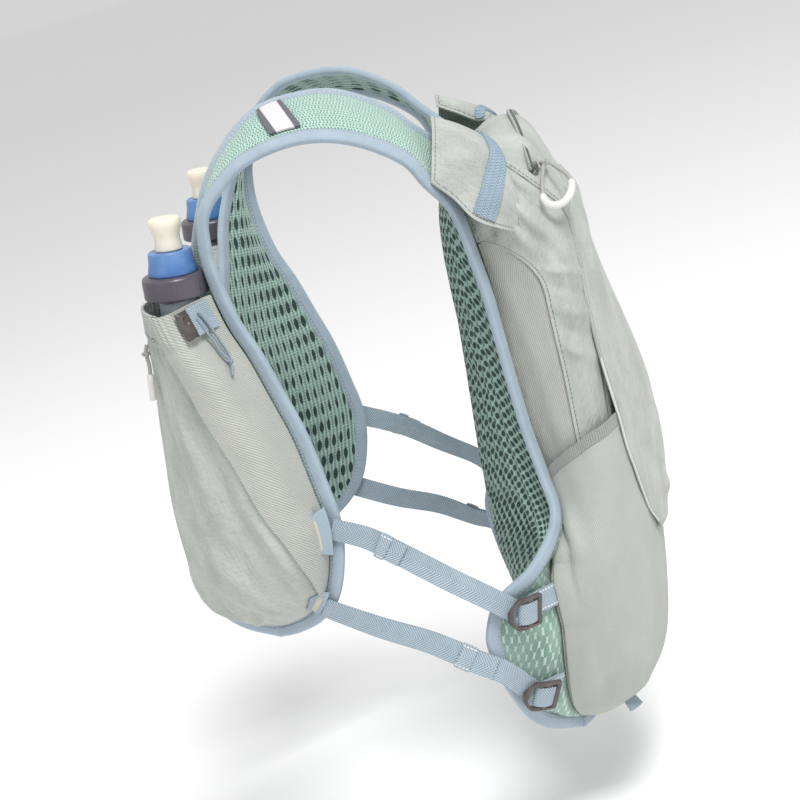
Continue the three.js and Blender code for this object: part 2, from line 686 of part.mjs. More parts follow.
const pack_stations = pack_rows.length - 1;
const pack_seat = mesh_thickness / 2 + panel_ease + cloth_thickness / 2;

function packRim(t) {
  const step = 0.01;
  const along = tableValue(pack_rows, "along", t * pack_stations);
  const rim = tableValue(pack_rows, "rim", t * pack_stations);
  const p = backPoint(along, rim);
  const down = backPoint(along + step, rim).sub(p);
  const side = backPoint(along, rim + step).sub(p);
  return p.addScaledVector(down.cross(side).normalize(), pack_seat);
}

const pack_curves = [
  smooth(pack_rows.map((r) => place({ out: r.sideOut, aft: r.sideAft, down: r.sideDown }))),
  smooth(pack_rows.map((r) => place({ out: r.seamOut, aft: r.seamAft, down: r.seamDown }))),
  smooth(pack_rows.map((r) => place({ out: 0, aft: r.rearAft, down: r.rearDown }))),
];

// u runs from the left rim (0) over its side (1/6), seam (2/6) and the rear (3/6) to the
// right rim (1).
function packPoint(t, u) {
  const left = [packRim(t), ...pack_curves.map((curve) => alongCurve(curve, t))];
  const right = left.slice(0, 3).reverse().map(mirrored);
  return smooth([...left, ...right]).getPoint(u);
}

const stretch_top = 3 / pack_stations;
const body_rows = 20;
const body_columns = 12;
add(
  "pack_body",
  sheet(packPoint, body_rows, body_columns, cloth_thickness, {
    keep: (a, b) => a < stretch_top || (b > 1 / 6 && b < 5 / 6),
  }),
  ripstop,
);
// The stretch panels fill the sides below the hood, tucked under the ripstop.
const tuck = 0.012;
addPair(
  "side_stretch",
  sheet(
    (a, b) => packPoint(THREE.MathUtils.lerp(stretch_top - tuck, 1, a), b * (1 / 6 + tuck)),
    16,
    2,
    cloth_thickness,
    { lift: (a, b) => -(cloth_thickness + panel_ease) * (a < 0.06 || b > 0.4 ? 1 : 0.5) },
  ),
  stretch,
);

// Knit pockets wrap the pack's lower half from rim to rear, open along the hem.
const mouth_rim = 8.7;
const mouth_rise = 1.25; // pack rows that the mouth climbs on its way to the rear
const side_pocket_foot = 0.985;
const pocket_rim = 0.022; // its edge stands clear of the back panel
addPair(
  "side_pocket",
  sheet(
    (a, b) =>
      packPoint(
        THREE.MathUtils.lerp((mouth_rim - mouth_rise * Math.sin(Math.PI * b)) / pack_stations, side_pocket_foot, a),
        THREE.MathUtils.lerp(pocket_rim, 0.497, b),
      ),
    11,
    7,
    cloth_thickness,
    {
      lift: (a, b) =>
        cloth_thickness + panel_ease +
        side_pocket_ease * Math.sin(Math.PI * b) ** 0.5 * (1 - a ** 3),
    },
  ),
  knit,
);

// A short tab stands off the pack's foot, folded into its bottom seam.
const tab_row = 0.945;
const tab_span = { from: 0.275, to: 0.335 };
function packOff(t, u) {
  const step = 5e-3;
  const down = packPoint(t + step, u).sub(packPoint(t - step, u));
  const side = packPoint(t, u + step).sub(packPoint(t, u - step));
  return down.cross(side).normalize();
}
const tab_from = 2 * cloth_thickness + panel_ease + seam_gap;
add(
  "hem_tab",
  sheet(
    (a, b) => {
      const u = THREE.MathUtils.lerp(tab_span.from, tab_span.to, b);
      return packPoint(tab_row, u).addScaledVector(packOff(tab_row, u), tab_from + a * tab_length);
    },
    2,
    2,
    webbing_thickness,
  ),
  webbing,
);

// Overlay panel on the rear, sewn at the hood and free along its lower end.
const flap_rows = [
  { along: 3.2, half: 0.165 },
  { along: 5, half: 0.165 },
  { along: 8, half: 0.165 },
  { along: 9, half: 0.145 },
  { along: 10.3, half: 0.12 },
  { along: 11.1, half: 0.08 },
];
add(
  "rear_panel",
  sheet(
    (a, b) => {
      const row = a * (flap_rows.length - 1);
      const half = tableValue(flap_rows, "half", row);
      return packPoint(tableValue(flap_rows, "along", row) / pack_stations, 0.5 + half * (2 * b - 1));
    },
    12,
    4,
    cloth_thickness,
    {
      lift: (a) =>
        cloth_thickness + flap_lift +
        (side_pocket_ease + cloth_thickness) * THREE.MathUtils.smoothstep(a, 0.12, 0.36),
    },
  ),
  ripstop,
);

// Side straps: from a patch on the chest panel's arm edge to a ladder lock on the wing.
// start and lock say where along the arm edge and on the back panel they are seated.
const side_straps = [
  {
    name: "upper",
    start: 0.757,
    lockAlong: 0.6,
    lockAcross: 0.04,
    lockRise: 0.5,
    tabAcross: 0.2,
    route: [
      { out: 0.945, aft: -0.283, down: 0.578 },
      { out: 0.98, aft: -0.2, down: 0.604 },
      { out: 1, aft: -0.078, down: 0.649 },
      { out: 1, aft: 0.04, down: 0.69 },
    ],
    keeper: 0.31,
  },
  {
    name: "lower",
    start: 0.868,
    lockAlong: 0.8,
    lockAcross: 0.06,
    lockRise: 1.8,
    tabAcross: 0.18,
    route: [
      { out: 0.94, aft: -0.333, down: 0.71 },
      { out: 0.98, aft: -0.178, down: 0.745 },
      { out: 0.995, aft: -0.05, down: 0.785 },
      { out: 0.985, aft: 0.04, down: 0.812 },
    ],
    keeper: 0.55,
  },
];
const strap_seat = binding_thickness / 2 + 2.5 * panel_ease + webbing_thickness / 2;
const tab_seat = mesh_thickness / 2 + 2.4 * panel_ease + webbing_thickness / 2;
const strap_hump = 3.6; // where the strap climbs over the wing's tape
const lock_seat = strap_seat + strap_hump + webbing_thickness / 2 + buckle_thickness / 2;

function backFrame(t, u) {
  const step = 5e-3;
  const p = backPoint(t, u);
  const across = backPoint(t, u + step).sub(backPoint(t, u - step)).normalize();
  const down = backPoint(t + step, u).sub(backPoint(t - step, u)).normalize();
  const off = down.clone().cross(across).normalize();
  return { p, across, off, up: across.clone().cross(off).normalize() };
}

// A band of webbing along a side strap's curve, flat against the body and, at its far
// end, against the wing. range is the stretch of the curve that it covers.
function tapeAlong(curve, wing_off, width, rows, thickness, range, rise) {
  const place_on = (a) => THREE.MathUtils.lerp(range[0], range[1], a);
  const off = (p, t) => outward(p).lerp(wing_off, THREE.MathUtils.smoothstep(t, 0.75, 1)).normalize();
  return sheet(
    (a, b) => {
      const t = place_on(a);
      const p = alongCurve(curve, t);
      const side = heading(curve, t).cross(off(p, t)).normalize();
      return p.addScaledVector(side, width * (b - 0.5));
    },
    rows,
    1,
    thickness,
    {
      normal: (p, own, a) => off(p, place_on(a)),
      lift: (a) => rise + strap_hump * THREE.MathUtils.smoothstep(place_on(a), 0.5, 0.8),
    },
  );
}

// A ladder lock is a plate with a pointed nose and two windows across it.
const buckle_rows = [
  { along: 0, half: 0.42, open: 0 },
  { along: 0.14, half: 0.74, open: 1 },
  { along: 0.3, half: 1, open: 1 },
  { along: 0.55, half: 1, open: 0 },
  { along: 0.68, half: 1, open: 1 },
  { along: 0.87, half: 1, open: 0 },
  { along: 1, half: 1, open: 0 },
];

function buckle(frame, seat) {
  const rows = buckle_rows.length - 1;
  return sheet(
    (a, b) => {
      const row = buckle_rows[Math.round(a * rows)];
      const half = (row.half * buckle_width) / 2;
      const across = [-half, -half + buckle_bar, half - buckle_bar, half][Math.round(3 * b)];
      return frame.p
        .clone()
        .addScaledVector(frame.across, (row.along - 0.5) * buckle_length)
        .addScaledVector(frame.up, across)
        .addScaledVector(frame.off, seat);
    },
    rows,
    3,
    buckle_thickness,
    { keep: (a, b) => Math.abs(b - 0.5) > 0.3 || !buckle_rows[Math.floor(a * rows)].open },
  );
}

for (const strap of side_straps) {
  const start = alongCurve(arm_curve, strap.start);
  start.addScaledVector(inward(arm_curve, strap.start), 0.5 * binding_width);
  start.addScaledVector(outward(start), strap_seat);
  const lock = backFrame(strap.lockAlong, strap.lockAcross);
  const centre = lock.p.clone().addScaledVector(lock.off, strap_seat);
  const last = centre.clone().addScaledVector(lock.across, -0.12 * buckle_length);
  const curve = smooth([start, ...strap.route.map(place), last]);
  addPair(
    "strap_" + strap.name,
    tapeAlong(curve, lock.off, webbing_width, 16, webbing_thickness, [0, 1], 0),
    webbing,
  );
  const length = curve.getLength();
  const half_keeper = keeper_length / length / 2;
  addPair(
    "keeper_" + strap.name,
    tapeAlong(
      curve,
      lock.off,
      webbing_width + 2,
      2,
      keeper_thickness,
      [strap.keeper - half_keeper, strap.keeper + half_keeper],
      webbing_thickness / 2 + seam_gap + keeper_thickness / 2,
    ),
    webbing,
  );
  addPair("buckle_" + strap.name, buckle(lock, lock_seat + strap.lockRise * panel_ease), buckle_plastic);
  addPair(
    "anchor_" + strap.name,
    sheet(
      (a, b) => {
        const u = THREE.MathUtils.lerp(strap.lockAcross, strap.tabAcross, a);
        const f = backFrame(strap.lockAlong, u);
        return f.p.addScaledVector(f.up, webbing_width * (b - 0.5));
      },
      4,
      1,
      webbing_thickness,
      { lift: (a) => THREE.MathUtils.lerp(strap_seat + strap_hump, tab_seat, Math.min(1, 1.5 * a)) },
    ),
    webbing,
  );
  // The patch that tacks the strap down on the chest panel.
  const patch_half = (0.5 * patch_length) / arm_curve.getLength();
  addPair(
    "patch_" + strap.name,
    sheet(
      (a, b) => {
        const t = strap.start + patch_half * (2 * a - 1);
        const from = binding_width * (0.12 + 0.1 * Math.abs(2 * a - 1));
        const way = inward(arm_curve, t);
        return alongCurve(arm_curve, t).addScaledVector(way, from + b * patch_width);
      },
      4,
      1,
      label_thickness,
      { normal: outward, lift: strap_seat + webbing_thickness / 2 + 1.2 * panel_ease + label_thickness / 2 },
    ),
    tape,
  );
}

// A bare label on its webbing crosses each strap in front of the shoulder.
const label_row = { arm: 0.212, neck: 0.238, ease: 0.04 };
addPair(
  "shoulder_label",
  sheet(
    (a, b) => {
      const half = (0.5 * label_width) / arm_curve.getLength();
      const t = THREE.MathUtils.lerp(label_row.arm, label_row.neck, a) + half * (2 * b - 1);
      return chest(t, THREE.MathUtils.lerp(label_row.ease, 1 - label_row.ease, a));
    },
    4,
    1,
    label_thickness,
    { normal: outward, lift: mesh_thickness / 2 + panel_ease + label_thickness / 2 },
  ),
  label_cloth,
);

// Cloth sleeves hood the straps' upper ends, open to the front. Their rows run from the
// armhole side over the crest to the neck side, and the last one lies on the pack. The
// blue band is the raised strip behind the third row.
const sleeve_rows = [
  { armOut: 0.785, armAft: 0.318, armDown: 0.138, crestOut: 0.615, crestAft: 0.365, crestDown: 0.089, neckOut: 0.415, neckAft: 0.372, neckDown: 0.068, footOut: 0.37, footAft: 0.368, footDown: 0.083 },
  { armOut: 0.778, armAft: 0.392, armDown: 0.167, crestOut: 0.667, crestAft: 0.473, crestDown: 0.101, neckOut: 0.422, neckAft: 0.46, neckDown: 0.087, footOut: 0.37, footAft: 0.453, footDown: 0.101 },
  { armOut: 0.756, armAft: 0.466, armDown: 0.205, crestOut: 0.652, crestAft: 0.601, crestDown: 0.138, neckOut: 0.459, neckAft: 0.561, neckDown: 0.11, footOut: 0.407, footAft: 0.541, footDown: 0.121 },
  { armOut: 0.69, armAft: 0.64, armDown: 0.242, crestOut: 0.665, crestAft: 0.668, crestDown: 0.184, neckOut: 0.495, neckAft: 0.63, neckDown: 0.122, footOut: 0.415, footAft: 0.612, footDown: 0.119 },
];
const sleeve_curves = ["arm", "crest", "neck", "foot"].map((name) =>
  smooth(
    sleeve_rows.map((r) => place({ out: r[name + "Out"], aft: r[name + "Aft"], down: r[name + "Down"] })),
  ),
);
const band_row = 0.69;
const band_half = 0.1;
addPair(
  "strap_sleeve",
  sheet(
    (a, b) => smooth(sleeve_curves.map((curve) => alongCurve(curve, a))).getPoint(b),
    10,
    4,
    cloth_thickness,
    { pad: (a) => (Math.abs(a - band_row) < band_half ? webbing_thickness : 0) },
  ),
  ripstop,
);

// The main zip crosses the hood from side to side. Its slider is at the wearer's left.
const zip_ends = { along: 0.142, across: 0.3475, rise: 0.033 };
const zipPoint = (a) => {
  const across = THREE.MathUtils.lerp(zip_ends.across, 1 - zip_ends.across, a);
  const along = zip_ends.along - zip_ends.rise * (1 - Math.abs(2 * a - 1) ** 1.5);
  return { along, across };
};
const zip_seat = cloth_thickness / 2 + 1.4 * panel_ease + zip_thickness / 2;
const zip = sheet(
  (a, b) => {
    const { along, across } = zipPoint(a);
    return packPoint(along + (zip_width / vest_height) * (b - 0.5), across);
  },
  10,
  1,
  zip_thickness,
  { lift: -zip_seat },
);
const slider_seat = zipPoint(0.03);
const slider_place = packPoint(slider_seat.along, slider_seat.across);
const slider_off = outward(slider_place);
slider_place.addScaledVector(slider_off, zip_seat + slider_thickness / 2);
const slider = new THREE.BoxGeometry(slider_width, slider_length, slider_thickness).applyMatrix4(
  new THREE.Matrix4()
    .makeTranslation(slider_place)
    .multiply(
      new THREE.Matrix4().makeRotationFromQuaternion(
        new THREE.Quaternion().setFromUnitVectors(new THREE.Vector3(0, 0, 1), slider_off),
      ),
    ),
);
add("pack_zip", joined(zip, slider), webbing);

// The cords keep hand-chosen points, in millimetres. The slider's pull is a loop with a
// moulded end, and each pocket has a pull on its zip and a drawcord with a knot.
const pack_pull_points = [
  [64.5, 118.2, -81.5],
  [67.5, 116.9, -84],
  [71, 115.9, -86.4],
  [75.5, 114.7, -89],
  [79.5, 113.9, -91.8],
  [83.5, 113, -95.2],
  [86.5, 112.8, -98.9],
  [88, 114.5, -102.8],
  [88.5, 118.6, -105],
  [87.5, 123.3, -105.2],
  [85.5, 128.4, -102.6],
  [82, 131.8, -98.2],
  [77.5, 132.4, -93.8],
  [73, 130.6, -89.6],
  [69, 126.8, -86],
  [65.5, 122.8, -82],
].map((p) => new THREE.Vector3(...p));
const pack_pull_knot = new THREE.Vector3(63.2, 119.2, -80.6);
const moulded = (from, to) => (t) => (t > from && t < to ? pull_diameter / cord_diameter : 1);
add(
  "pack_pull",
  joined(
    tube(pack_pull_points, cord_diameter, moulded(0.36, 0.8)),
    ball(pack_pull_knot, 1.3 * cord_diameter),
  ),
  pull_plastic,
);
const pocket_pull_points = [
  [98, -163.4, -121.6],
  [98, -164, -123.2],
  [98, -164.9, -125],
  [98, -165.6, -127.2],
  [98, -165.8, -129.6],
  [98, -165.9, -132],
  [98, -166, -134.6],
  [98, -166.4, -137.2],
  [98, -166.9, -139.8],
  [98, -167.5, -142.4],
  [98, -168, -145],
  [98, -168.6, -147.8],
  [98, -169.2, -150.6],
  [98, -169.7, -153.4],
  [98, -170.3, -156.2],
  [98, -170.9, -159],
].map((p) => new THREE.Vector3(...p));
addPair(
  "pocket_pull",
  joined(
    tube(pocket_pull_points, cord_diameter, moulded(0.57, 2)),
    ball(pocket_pull_points[3], 1.2 * cord_diameter),
  ),
  pull_plastic,
);
// Both ends of the drawcord hang from its lock. They are knotted together, and the long
// one goes on below the knot.
const drawcord_long = [
  [122.9, -120.3, -108.3],
  [122.6, -119.6, -110.4],
  [122.4, -118.6, -113],
  [122.3, -117.7, -116],
  [122.2, -116.7, -119.2],
  [122.3, -115.6, -122.4],
  [122.4, -114.2, -125.8],
  [123, -113, -129],
  [123.8, -111.8, -132.4],
  [124.1, -110.2, -135.6],
  [123.8, -108.6, -138.4],
  [123.6, -107.6, -140.8],
  [124.6, -107.4, -143.2],
  [126, -107.6, -145.4],
  [127.5, -107.8, -147.4],
  [129, -108, -149.4],
].map((p) => new THREE.Vector3(...p));
const drawcord_short = [
  [120.4, -118.5, -105],
  [119.8, -117.8, -106.8],
  [119.3, -117, -108.6],
  [119, -116.4, -110.4],
  [118.8, -115.5, -112.6],
  [118.6, -114.7, -115],
  [118.6, -114, -117.6],
  [118.7, -113.2, -120.2],
  [118.8, -112.3, -122.8],
  [119, -111.4, -125.4],
  [119.3, -110.7, -128],
  [119.7, -109.7, -130.6],
  [119.9, -108.7, -133.6],
  [120.8, -107.9, -136.4],
  [122, -107.5, -139],
].map((p) => new THREE.Vector3(...p));
const drawcord_knot = drawcord_long[11];
addPair(
  "drawcord",
  joined(
    tube(drawcord_long, drawcord_diameter),
    tube(drawcord_short, drawcord_diameter),
    ball(drawcord_knot, 1.3 * drawcord_diameter),
  ),
  tape,
);

// The cord lock lies on the mouth's hem, under the start of the drawcord.
const lock_place = { row: 0.03, across: 0.15 };
addPair(
  "cord_lock",
  sheet(
    (a, b) => {
      const row = lock_place.row + (lock_length / (0.6 * vest_height)) * (a - 0.5);
      return pocketPoint(row, lock_place.across + (lock_width / (2.6 * flask_width)) * (b - 0.5));
    },
    2,
    2,
    lock_thickness,
    { lift: -(pocket_lap + cloth_thickness / 2 + 0.6 * panel_ease + lock_thickness / 2) },
  ),
  buckle_plastic,
);

// The chest strap and its clasp close the vest in front, behind the flasks.
const chest_strap_along = 0.57;
const chest_strap_bow = 0.05 * front_reach;
const chest_strap_start = alongCurve(neck_curve, chest_strap_along);
chest_strap_start.addScaledVector(inward(neck_curve, chest_strap_along), -0.9 * binding_width);
const chest_strap_seat = binding_thickness / 2 + 2.5 * panel_ease + webbing_thickness / 2;
chest_strap_start.addScaledVector(outward(chest_strap_start), chest_strap_seat);
const chest_strap = sheet(
  (a, b) => {
    const p = mix(chest_strap_start, mirrored(chest_strap_start), a);
    p.y -= chest_strap_bow * 4 * a * (1 - a);
    return p.add(new THREE.Vector3(0, 0, webbing_width * (b - 0.5)));
  },
  8,
  1,
  webbing_thickness,
  { normal: outward },
);
const clasp = new THREE.BoxGeometry(clasp_length, clasp_thickness, clasp_width);
clasp.translate(0, chest_strap_start.y - chest_strap_bow, chest_strap_start.z);
add("sternum_strap", joined(chest_strap, clasp), webbing);

export default vest;
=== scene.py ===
# A running hydration vest, held up as it is worn, with the wearer's left side to the
# camera. Lengths are in millimetres in the same frame as the solids, and become metres
# as each mesh is made. The chest faces -Y and the wearer's left is +X.
import math

import bpy
import numpy as np
from mathutils import Matrix, Vector


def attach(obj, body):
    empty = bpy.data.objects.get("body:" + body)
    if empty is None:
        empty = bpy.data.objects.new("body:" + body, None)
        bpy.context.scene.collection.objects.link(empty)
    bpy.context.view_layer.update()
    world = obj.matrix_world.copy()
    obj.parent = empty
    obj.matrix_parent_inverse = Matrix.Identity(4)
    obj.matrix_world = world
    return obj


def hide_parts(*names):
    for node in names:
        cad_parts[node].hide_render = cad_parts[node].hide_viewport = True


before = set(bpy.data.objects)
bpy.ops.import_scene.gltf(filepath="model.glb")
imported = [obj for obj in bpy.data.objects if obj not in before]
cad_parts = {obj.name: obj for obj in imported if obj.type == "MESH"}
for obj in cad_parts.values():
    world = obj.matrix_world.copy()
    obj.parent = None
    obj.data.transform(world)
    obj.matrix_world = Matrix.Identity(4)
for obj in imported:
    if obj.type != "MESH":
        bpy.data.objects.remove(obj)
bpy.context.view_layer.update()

# Camera, backdrop and light: a plain white product table under broad soft lights, with
# the camera at the wearer's left, a little behind the shoulder and above it.
MM = 0.001
camera_place = Vector((1203.80, 127.25, 109.99))
camera_right = Vector((-0.04361939, 0.96034679, -0.27537501))
camera_up = Vector((-0.29209343, 0.25133427, 0.92277436))
camera_lens = 78.75
camera_sensor = 36

camera = bpy.data.objects.new("camera", bpy.data.cameras.new("camera"))
camera.data.sensor_width = camera_sensor
camera.data.lens = camera_lens
camera.data.clip_end = 100
turn = Matrix((camera_right, camera_up, camera_right.cross(camera_up))).transposed()
camera.matrix_world = Matrix.Translation(camera_place * MM) @ turn.to_4x4()
bpy.context.scene.collection.objects.link(camera)
bpy.context.scene.camera = camera
bpy.context.scene.view_settings.view_transform = "Standard"

floor_height = -560
floor_half = 40000
lights_aim = (0, 0, -240)
world_light = 0.66


def softbox(name, place, size, power):
    """A square light at a place in millimetres, aimed at the middle of the vest."""
    lamp = bpy.data.objects.new(name, bpy.data.lights.new(name, "AREA"))
    lamp.data.size = size * MM
    lamp.data.energy = power
    lamp.location = Vector(place) * MM
    aim = Vector(lights_aim) * MM - lamp.location
    lamp.rotation_euler = aim.to_track_quat("-Z", "Y").to_euler()
    bpy.context.scene.collection.objects.link(lamp)


softbox("key_light", (1500, 900, 2600), 1100, 95)
softbox("fill_light", (1500, -1300, 500), 1200, 3)
softbox("front_light", (-700, -1500, 900), 1200, 3)
world = bpy.data.worlds.new("studio")
world.use_nodes = True
world.node_tree.nodes["Background"].inputs["Color"].default_value = (1, 1, 1, 1)
world.node_tree.nodes["Background"].inputs["Strength"].default_value = world_light
bpy.context.scene.world = world


# Free cords: two pale zip pulls and one on the pack, of round braided cord with a moulded
# end, and at each pocket a blue-grey elastic drawcord whose two ends are knotted together.
cord_diameter = 2.6
drawcord_diameter = 2
pull_diameter = 5
pack_pull_points = [
    (64.5, 118.2, -81.5),
    (67.5, 116.9, -84),
    (71, 115.9, -86.4),
    (75.5, 114.7, -89),
    (79.5, 113.9, -91.8),
    (83.5, 113, -95.2),
    (86.5, 112.8, -98.9),
    (88, 114.5, -102.8),
    (88.5, 118.6, -105),
    (87.5, 123.3, -105.2),
    (85.5, 128.4, -102.6),
    (82, 131.8, -98.2),
    (77.5, 132.4, -93.8),
    (73, 130.6, -89.6),
    (69, 126.8, -86),
    (65.5, 122.8, -82),
]
pack_pull_knot = (63.2, 119.2, -80.6)
pocket_pull_points = [
    (98, -163.4, -121.6),
    (98, -164, -123.2),
    (98, -164.9, -125),
    (98, -165.6, -127.2),
    (98, -165.8, -129.6),
    (98, -165.9, -132),
    (98, -166, -134.6),
    (98, -166.4, -137.2),
    (98, -166.9, -139.8),
    (98, -167.5, -142.4),
    (98, -168, -145),
    (98, -168.6, -147.8),
    (98, -169.2, -150.6),
    (98, -169.7, -153.4),
    (98, -170.3, -156.2),
    (98, -170.9, -159),
]
drawcord_long = [
    (122.9, -120.3, -108.3),
    (122.6, -119.6, -110.4),
    (122.4, -118.6, -113),
    (122.3, -117.7, -116),
    (122.2, -116.7, -119.2),
    (122.3, -115.6, -122.4),
    (122.4, -114.2, -125.8),
    (123, -113, -129),
    (123.8, -111.8, -132.4),
    (124.1, -110.2, -135.6),
    (123.8, -108.6, -138.4),
    (123.6, -107.6, -140.8),
    (124.6, -107.4, -143.2),
    (126, -107.6, -145.4),
    (127.5, -107.8, -147.4),
    (129, -108, -149.4),
]
drawcord_short = [
    (120.4, -118.5, -105),
    (119.8, -117.8, -106.8),
    (119.3, -117, -108.6),
    (119, -116.4, -110.4),
    (118.8, -115.5, -112.6),
    (118.6, -114.7, -115),
    (118.6, -114, -117.6),
    (118.7, -113.2, -120.2),
    (118.8, -112.3, -122.8),
    (119, -111.4, -125.4),
    (119.3, -110.7, -128),
    (119.7, -109.7, -130.6),
    (119.9, -108.7, -133.6),
    (120.8, -107.9, -136.4),
    (122, -107.5, -139),
]


def spline(points, t):
    """The smooth curve through points, at t from 0 to 1. Each point may be a whole array."""
    points = np.asarray(points, float)
    place = np.clip(np.asarray(t, float), 0, 1) * (len(points) - 1)
    i = np.minimum(np.floor(place).astype(int), len(points) - 2)
    w = (place - i)[..., None]
    ends = [2 * points[:1] - points[1:2], points, 2 * points[-1:] - points[-2:-1]]
    every = np.concatenate(ends)

    def pick(k):
        if every.ndim == 2:
            return every[i + k]
        return np.take_along_axis(every, (i + k)[None, ..., None], 0)[0]

    before, start, end, after = (pick(k) for k in range(4))
    leave, arrive = (end - before) / 2, (after - start) / 2
    third = 3 * (end - start) - 2 * leave - arrive
    return start + w * (leave + w * (third + w * (2 * (start - end) + leave + arrive)))


def unit(v):
    return v / np.maximum(np.linalg.norm(v, axis=-1, keepdims=True), 1e-9)


def lengths(points, axis):
    """How far along a grid of points each one lies, from the start of its row or column."""
    steps = np.linalg.norm(np.diff(points, axis=axis), axis=-1)
    start = np.zeros_like(np.take(steps, [0], axis))
    return np.concatenate([start, np.cumsum(steps, axis)], axis)


class Socket:
    """A socket in a material. Arithmetic on it adds Math nodes."""

    def __init__(self, tree, socket):
        self.tree, self.socket = tree, socket

    def node(self, kind, settings=None, inputs=None, output=0):
        made = self.tree.nodes.new("ShaderNode" + kind)
        for name, value in (settings or {}).items():
            setattr(made, name, value)
        for name, value in (inputs or {}).items():
            if isinstance(value, Socket):
                self.tree.links.new(value.socket, made.inputs[name])
            else:
                made.inputs[name].default_value = value
        return Socket(self.tree, made.outputs[output])

    def math(self, operation, *values):
        return self.node("Math", {"operation": operation}, dict(enumerate((self, *values))))

    def __add__(self, other):
        return self.math("ADD", other)

    def __sub__(self, other):
        return self.math("SUBTRACT", other)

    def __rsub__(self, other):
        return self.node("Math", {"operation": "SUBTRACT"}, {0: other, 1: self})

    def __mul__(self, other):
        return self.math("MULTIPLY", other)

    def __truediv__(self, other):
        return self.math("DIVIDE", other)

    __radd__, __rmul__ = __add__, __mul__

    def ramp(self, low, high):
        """0 below low and 1 above high, with a soft step between them."""
        settings = {"interpolation_type": "SMOOTHSTEP"}
        return self.node("MapRange", settings, {"Value": self, "From Min": low, "From Max": high})

    def wrap(self, pitch, shift=0):
        """The distance from the middle of the cell, where cells repeat at a pitch."""
        moved = self + shift if shift else self
        return moved.math("WRAP", pitch / 2, -pitch / 2)

    def waves(self, pitch):
        """Even waves from 0 to 1, one to each pitch."""
        return (self * (2 * math.pi / pitch)).math("SINE") * 0.5 + 0.5

    def stored(self, name):
        """What the mesh holds at each of its points under a name."""
        return self.node("Attribute", {"attribute_name": name}, output=1)

    def part(self, k):
        """One of the three numbers of a place."""
        return self.node("SeparateXYZ", {}, {0: self}, k)

    def noise(self, scale, detail=3, stretch=(1, 1, 1)):
        """Even noise about 0.5, in features of about 1/scale millimetres."""
        moved = self.node("VectorMath", {"operation": "MULTIPLY"}, {0: self, 1: stretch})
        inputs = {"Vector": moved, "Scale": scale, "Detail": detail}
        return self.node("TexNoise", {}, inputs)

    def tint(self, low, high):
        """A colour between two, as this value goes from 0 to 1."""
        inputs = {0: self}
        for name, colour in ((6, low), (7, high)):
            inputs[name] = colour if isinstance(colour, Socket) else (*colour, 1)
        return self.node("Mix", {"data_type": "RGBA"}, inputs, 2)


def linear(r, g, b):
    """A colour given in display values from 0 to 255."""
    return tuple(
        v / 12.92 if v <= 0.04045 else ((v + 0.055) / 1.055) ** 2.4 for v in (r / 255, g / 255, b / 255)
    )


def finish(name, build, **steady):
    """A material. build gets the place on the cloth, in millimetres across and along it and
    1 on its outer face, and gives the colour, the roughness and the height of the relief."""
    material = bpy.data.materials.new(name)
    material.use_nodes = True
    tree = material.node_tree
    shader = tree.nodes["Principled BSDF"]
    for socket, value in steady.items():
        shader.inputs[socket.replace("_", " ")].default_value = value
    place = Socket(tree, None).stored("cloth")
    across, along, outer = (place.part(k) for k in range(3))
    made = build(place, across, along, outer)
    for socket, value in made.items():
        if socket == "height":
            bump = place.node("Bump", {}, {"Height": value, "Distance": MM, "Strength": 1.0})
            tree.links.new(bump.socket, shader.inputs["Normal"])
        elif isinstance(value, Socket):
            tree.links.new(value.socket, shader.inputs[socket])
        else:
            shader.inputs[socket].default_value = value
    return material


def turned_out(points, faces):
    """The faces, all wound so that they look out of the body that they close."""
    corners = np.array([f if len(f) == 4 else (*f, f[2]) for f in faces])
    a, b, c, d = (points[corners[:, k]] for k in range(4))
    volume = (np.cross(a, b) * c + np.cross(a, c) * d).sum()
    return faces if volume > 0 else [f[::-1] for f in faces]


def shown(name, points, faces, cloth, material, nodes=(), sharp=40, trim=None):
    """A mesh of the vest, from points in millimetres, riding with it in place of its solids.
    cloth is each point's place on the cloth, and trim its distances from seam and edge."""
    mesh = bpy.data.meshes.new(name)
    points = np.asarray(points, float)
    mesh.from_pydata((points * MM).tolist(), [], turned_out(points, faces))
    place = mesh.attributes.new("cloth", "FLOAT_VECTOR", "POINT")
    place.data.foreach_set("vector", np.asarray(cloth, np.float32).ravel())
    if trim is not None:
        place = mesh.attributes.new("trim", "FLOAT_VECTOR", "POINT")
        place.data.foreach_set("vector", np.asarray(trim, np.float32).ravel())
    mesh.shade_smooth()
    mesh.set_sharp_from_angle(angle=math.radians(sharp))
    mesh.materials.append(material)
    piece = bpy.data.objects.new(name, mesh)
    bpy.context.scene.collection.objects.link(piece)
    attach(piece, "root")
    if nodes:
        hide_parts(*nodes)
    return piece


def grid_faces(rows, columns, start=0, loop=False):
    """Quads of a grid of points, with its columns closed into a ring where loop is set."""
    wide = columns if loop else columns - 1
    faces = []
    for i in range(rows - 1):
        for j in range(wide):
            k = (j + 1) % columns
            a, b = start + i * columns, start + (i + 1) * columns
            faces.append((a + j, b + j, b + k, a + k))
    return faces


def tube_mesh(rings, closed_ends=True):
    """Points, quads and places of a skin through rings of points, closed at its ends."""
    rows, sides = rings.shape[:2]
    faces = grid_faces(rows, sides, loop=True)
    points = list(rings.reshape(-1, 3))
    along = lengths(rings.mean(1), 0)
    around = lengths(np.concatenate([rings, rings[:, :1]], 1), 1)[:, :-1]
    cloth = [(around[i, j], along[i], 1) for i in range(rows) for j in range(sides)]
    if closed_ends:
        for i, order in ((0, 1), (rows - 1, -1)):
            middle = len(points)
            points.append(rings[i].mean(0))
            cloth.append((0, along[i], 1))
            edge = [i * sides + j for j in range(sides)][::order]
            faces += [(middle, a, b) for a, b in zip(edge, edge[1:] + edge[:1])]
    return np.array(points), faces, np.array(cloth)


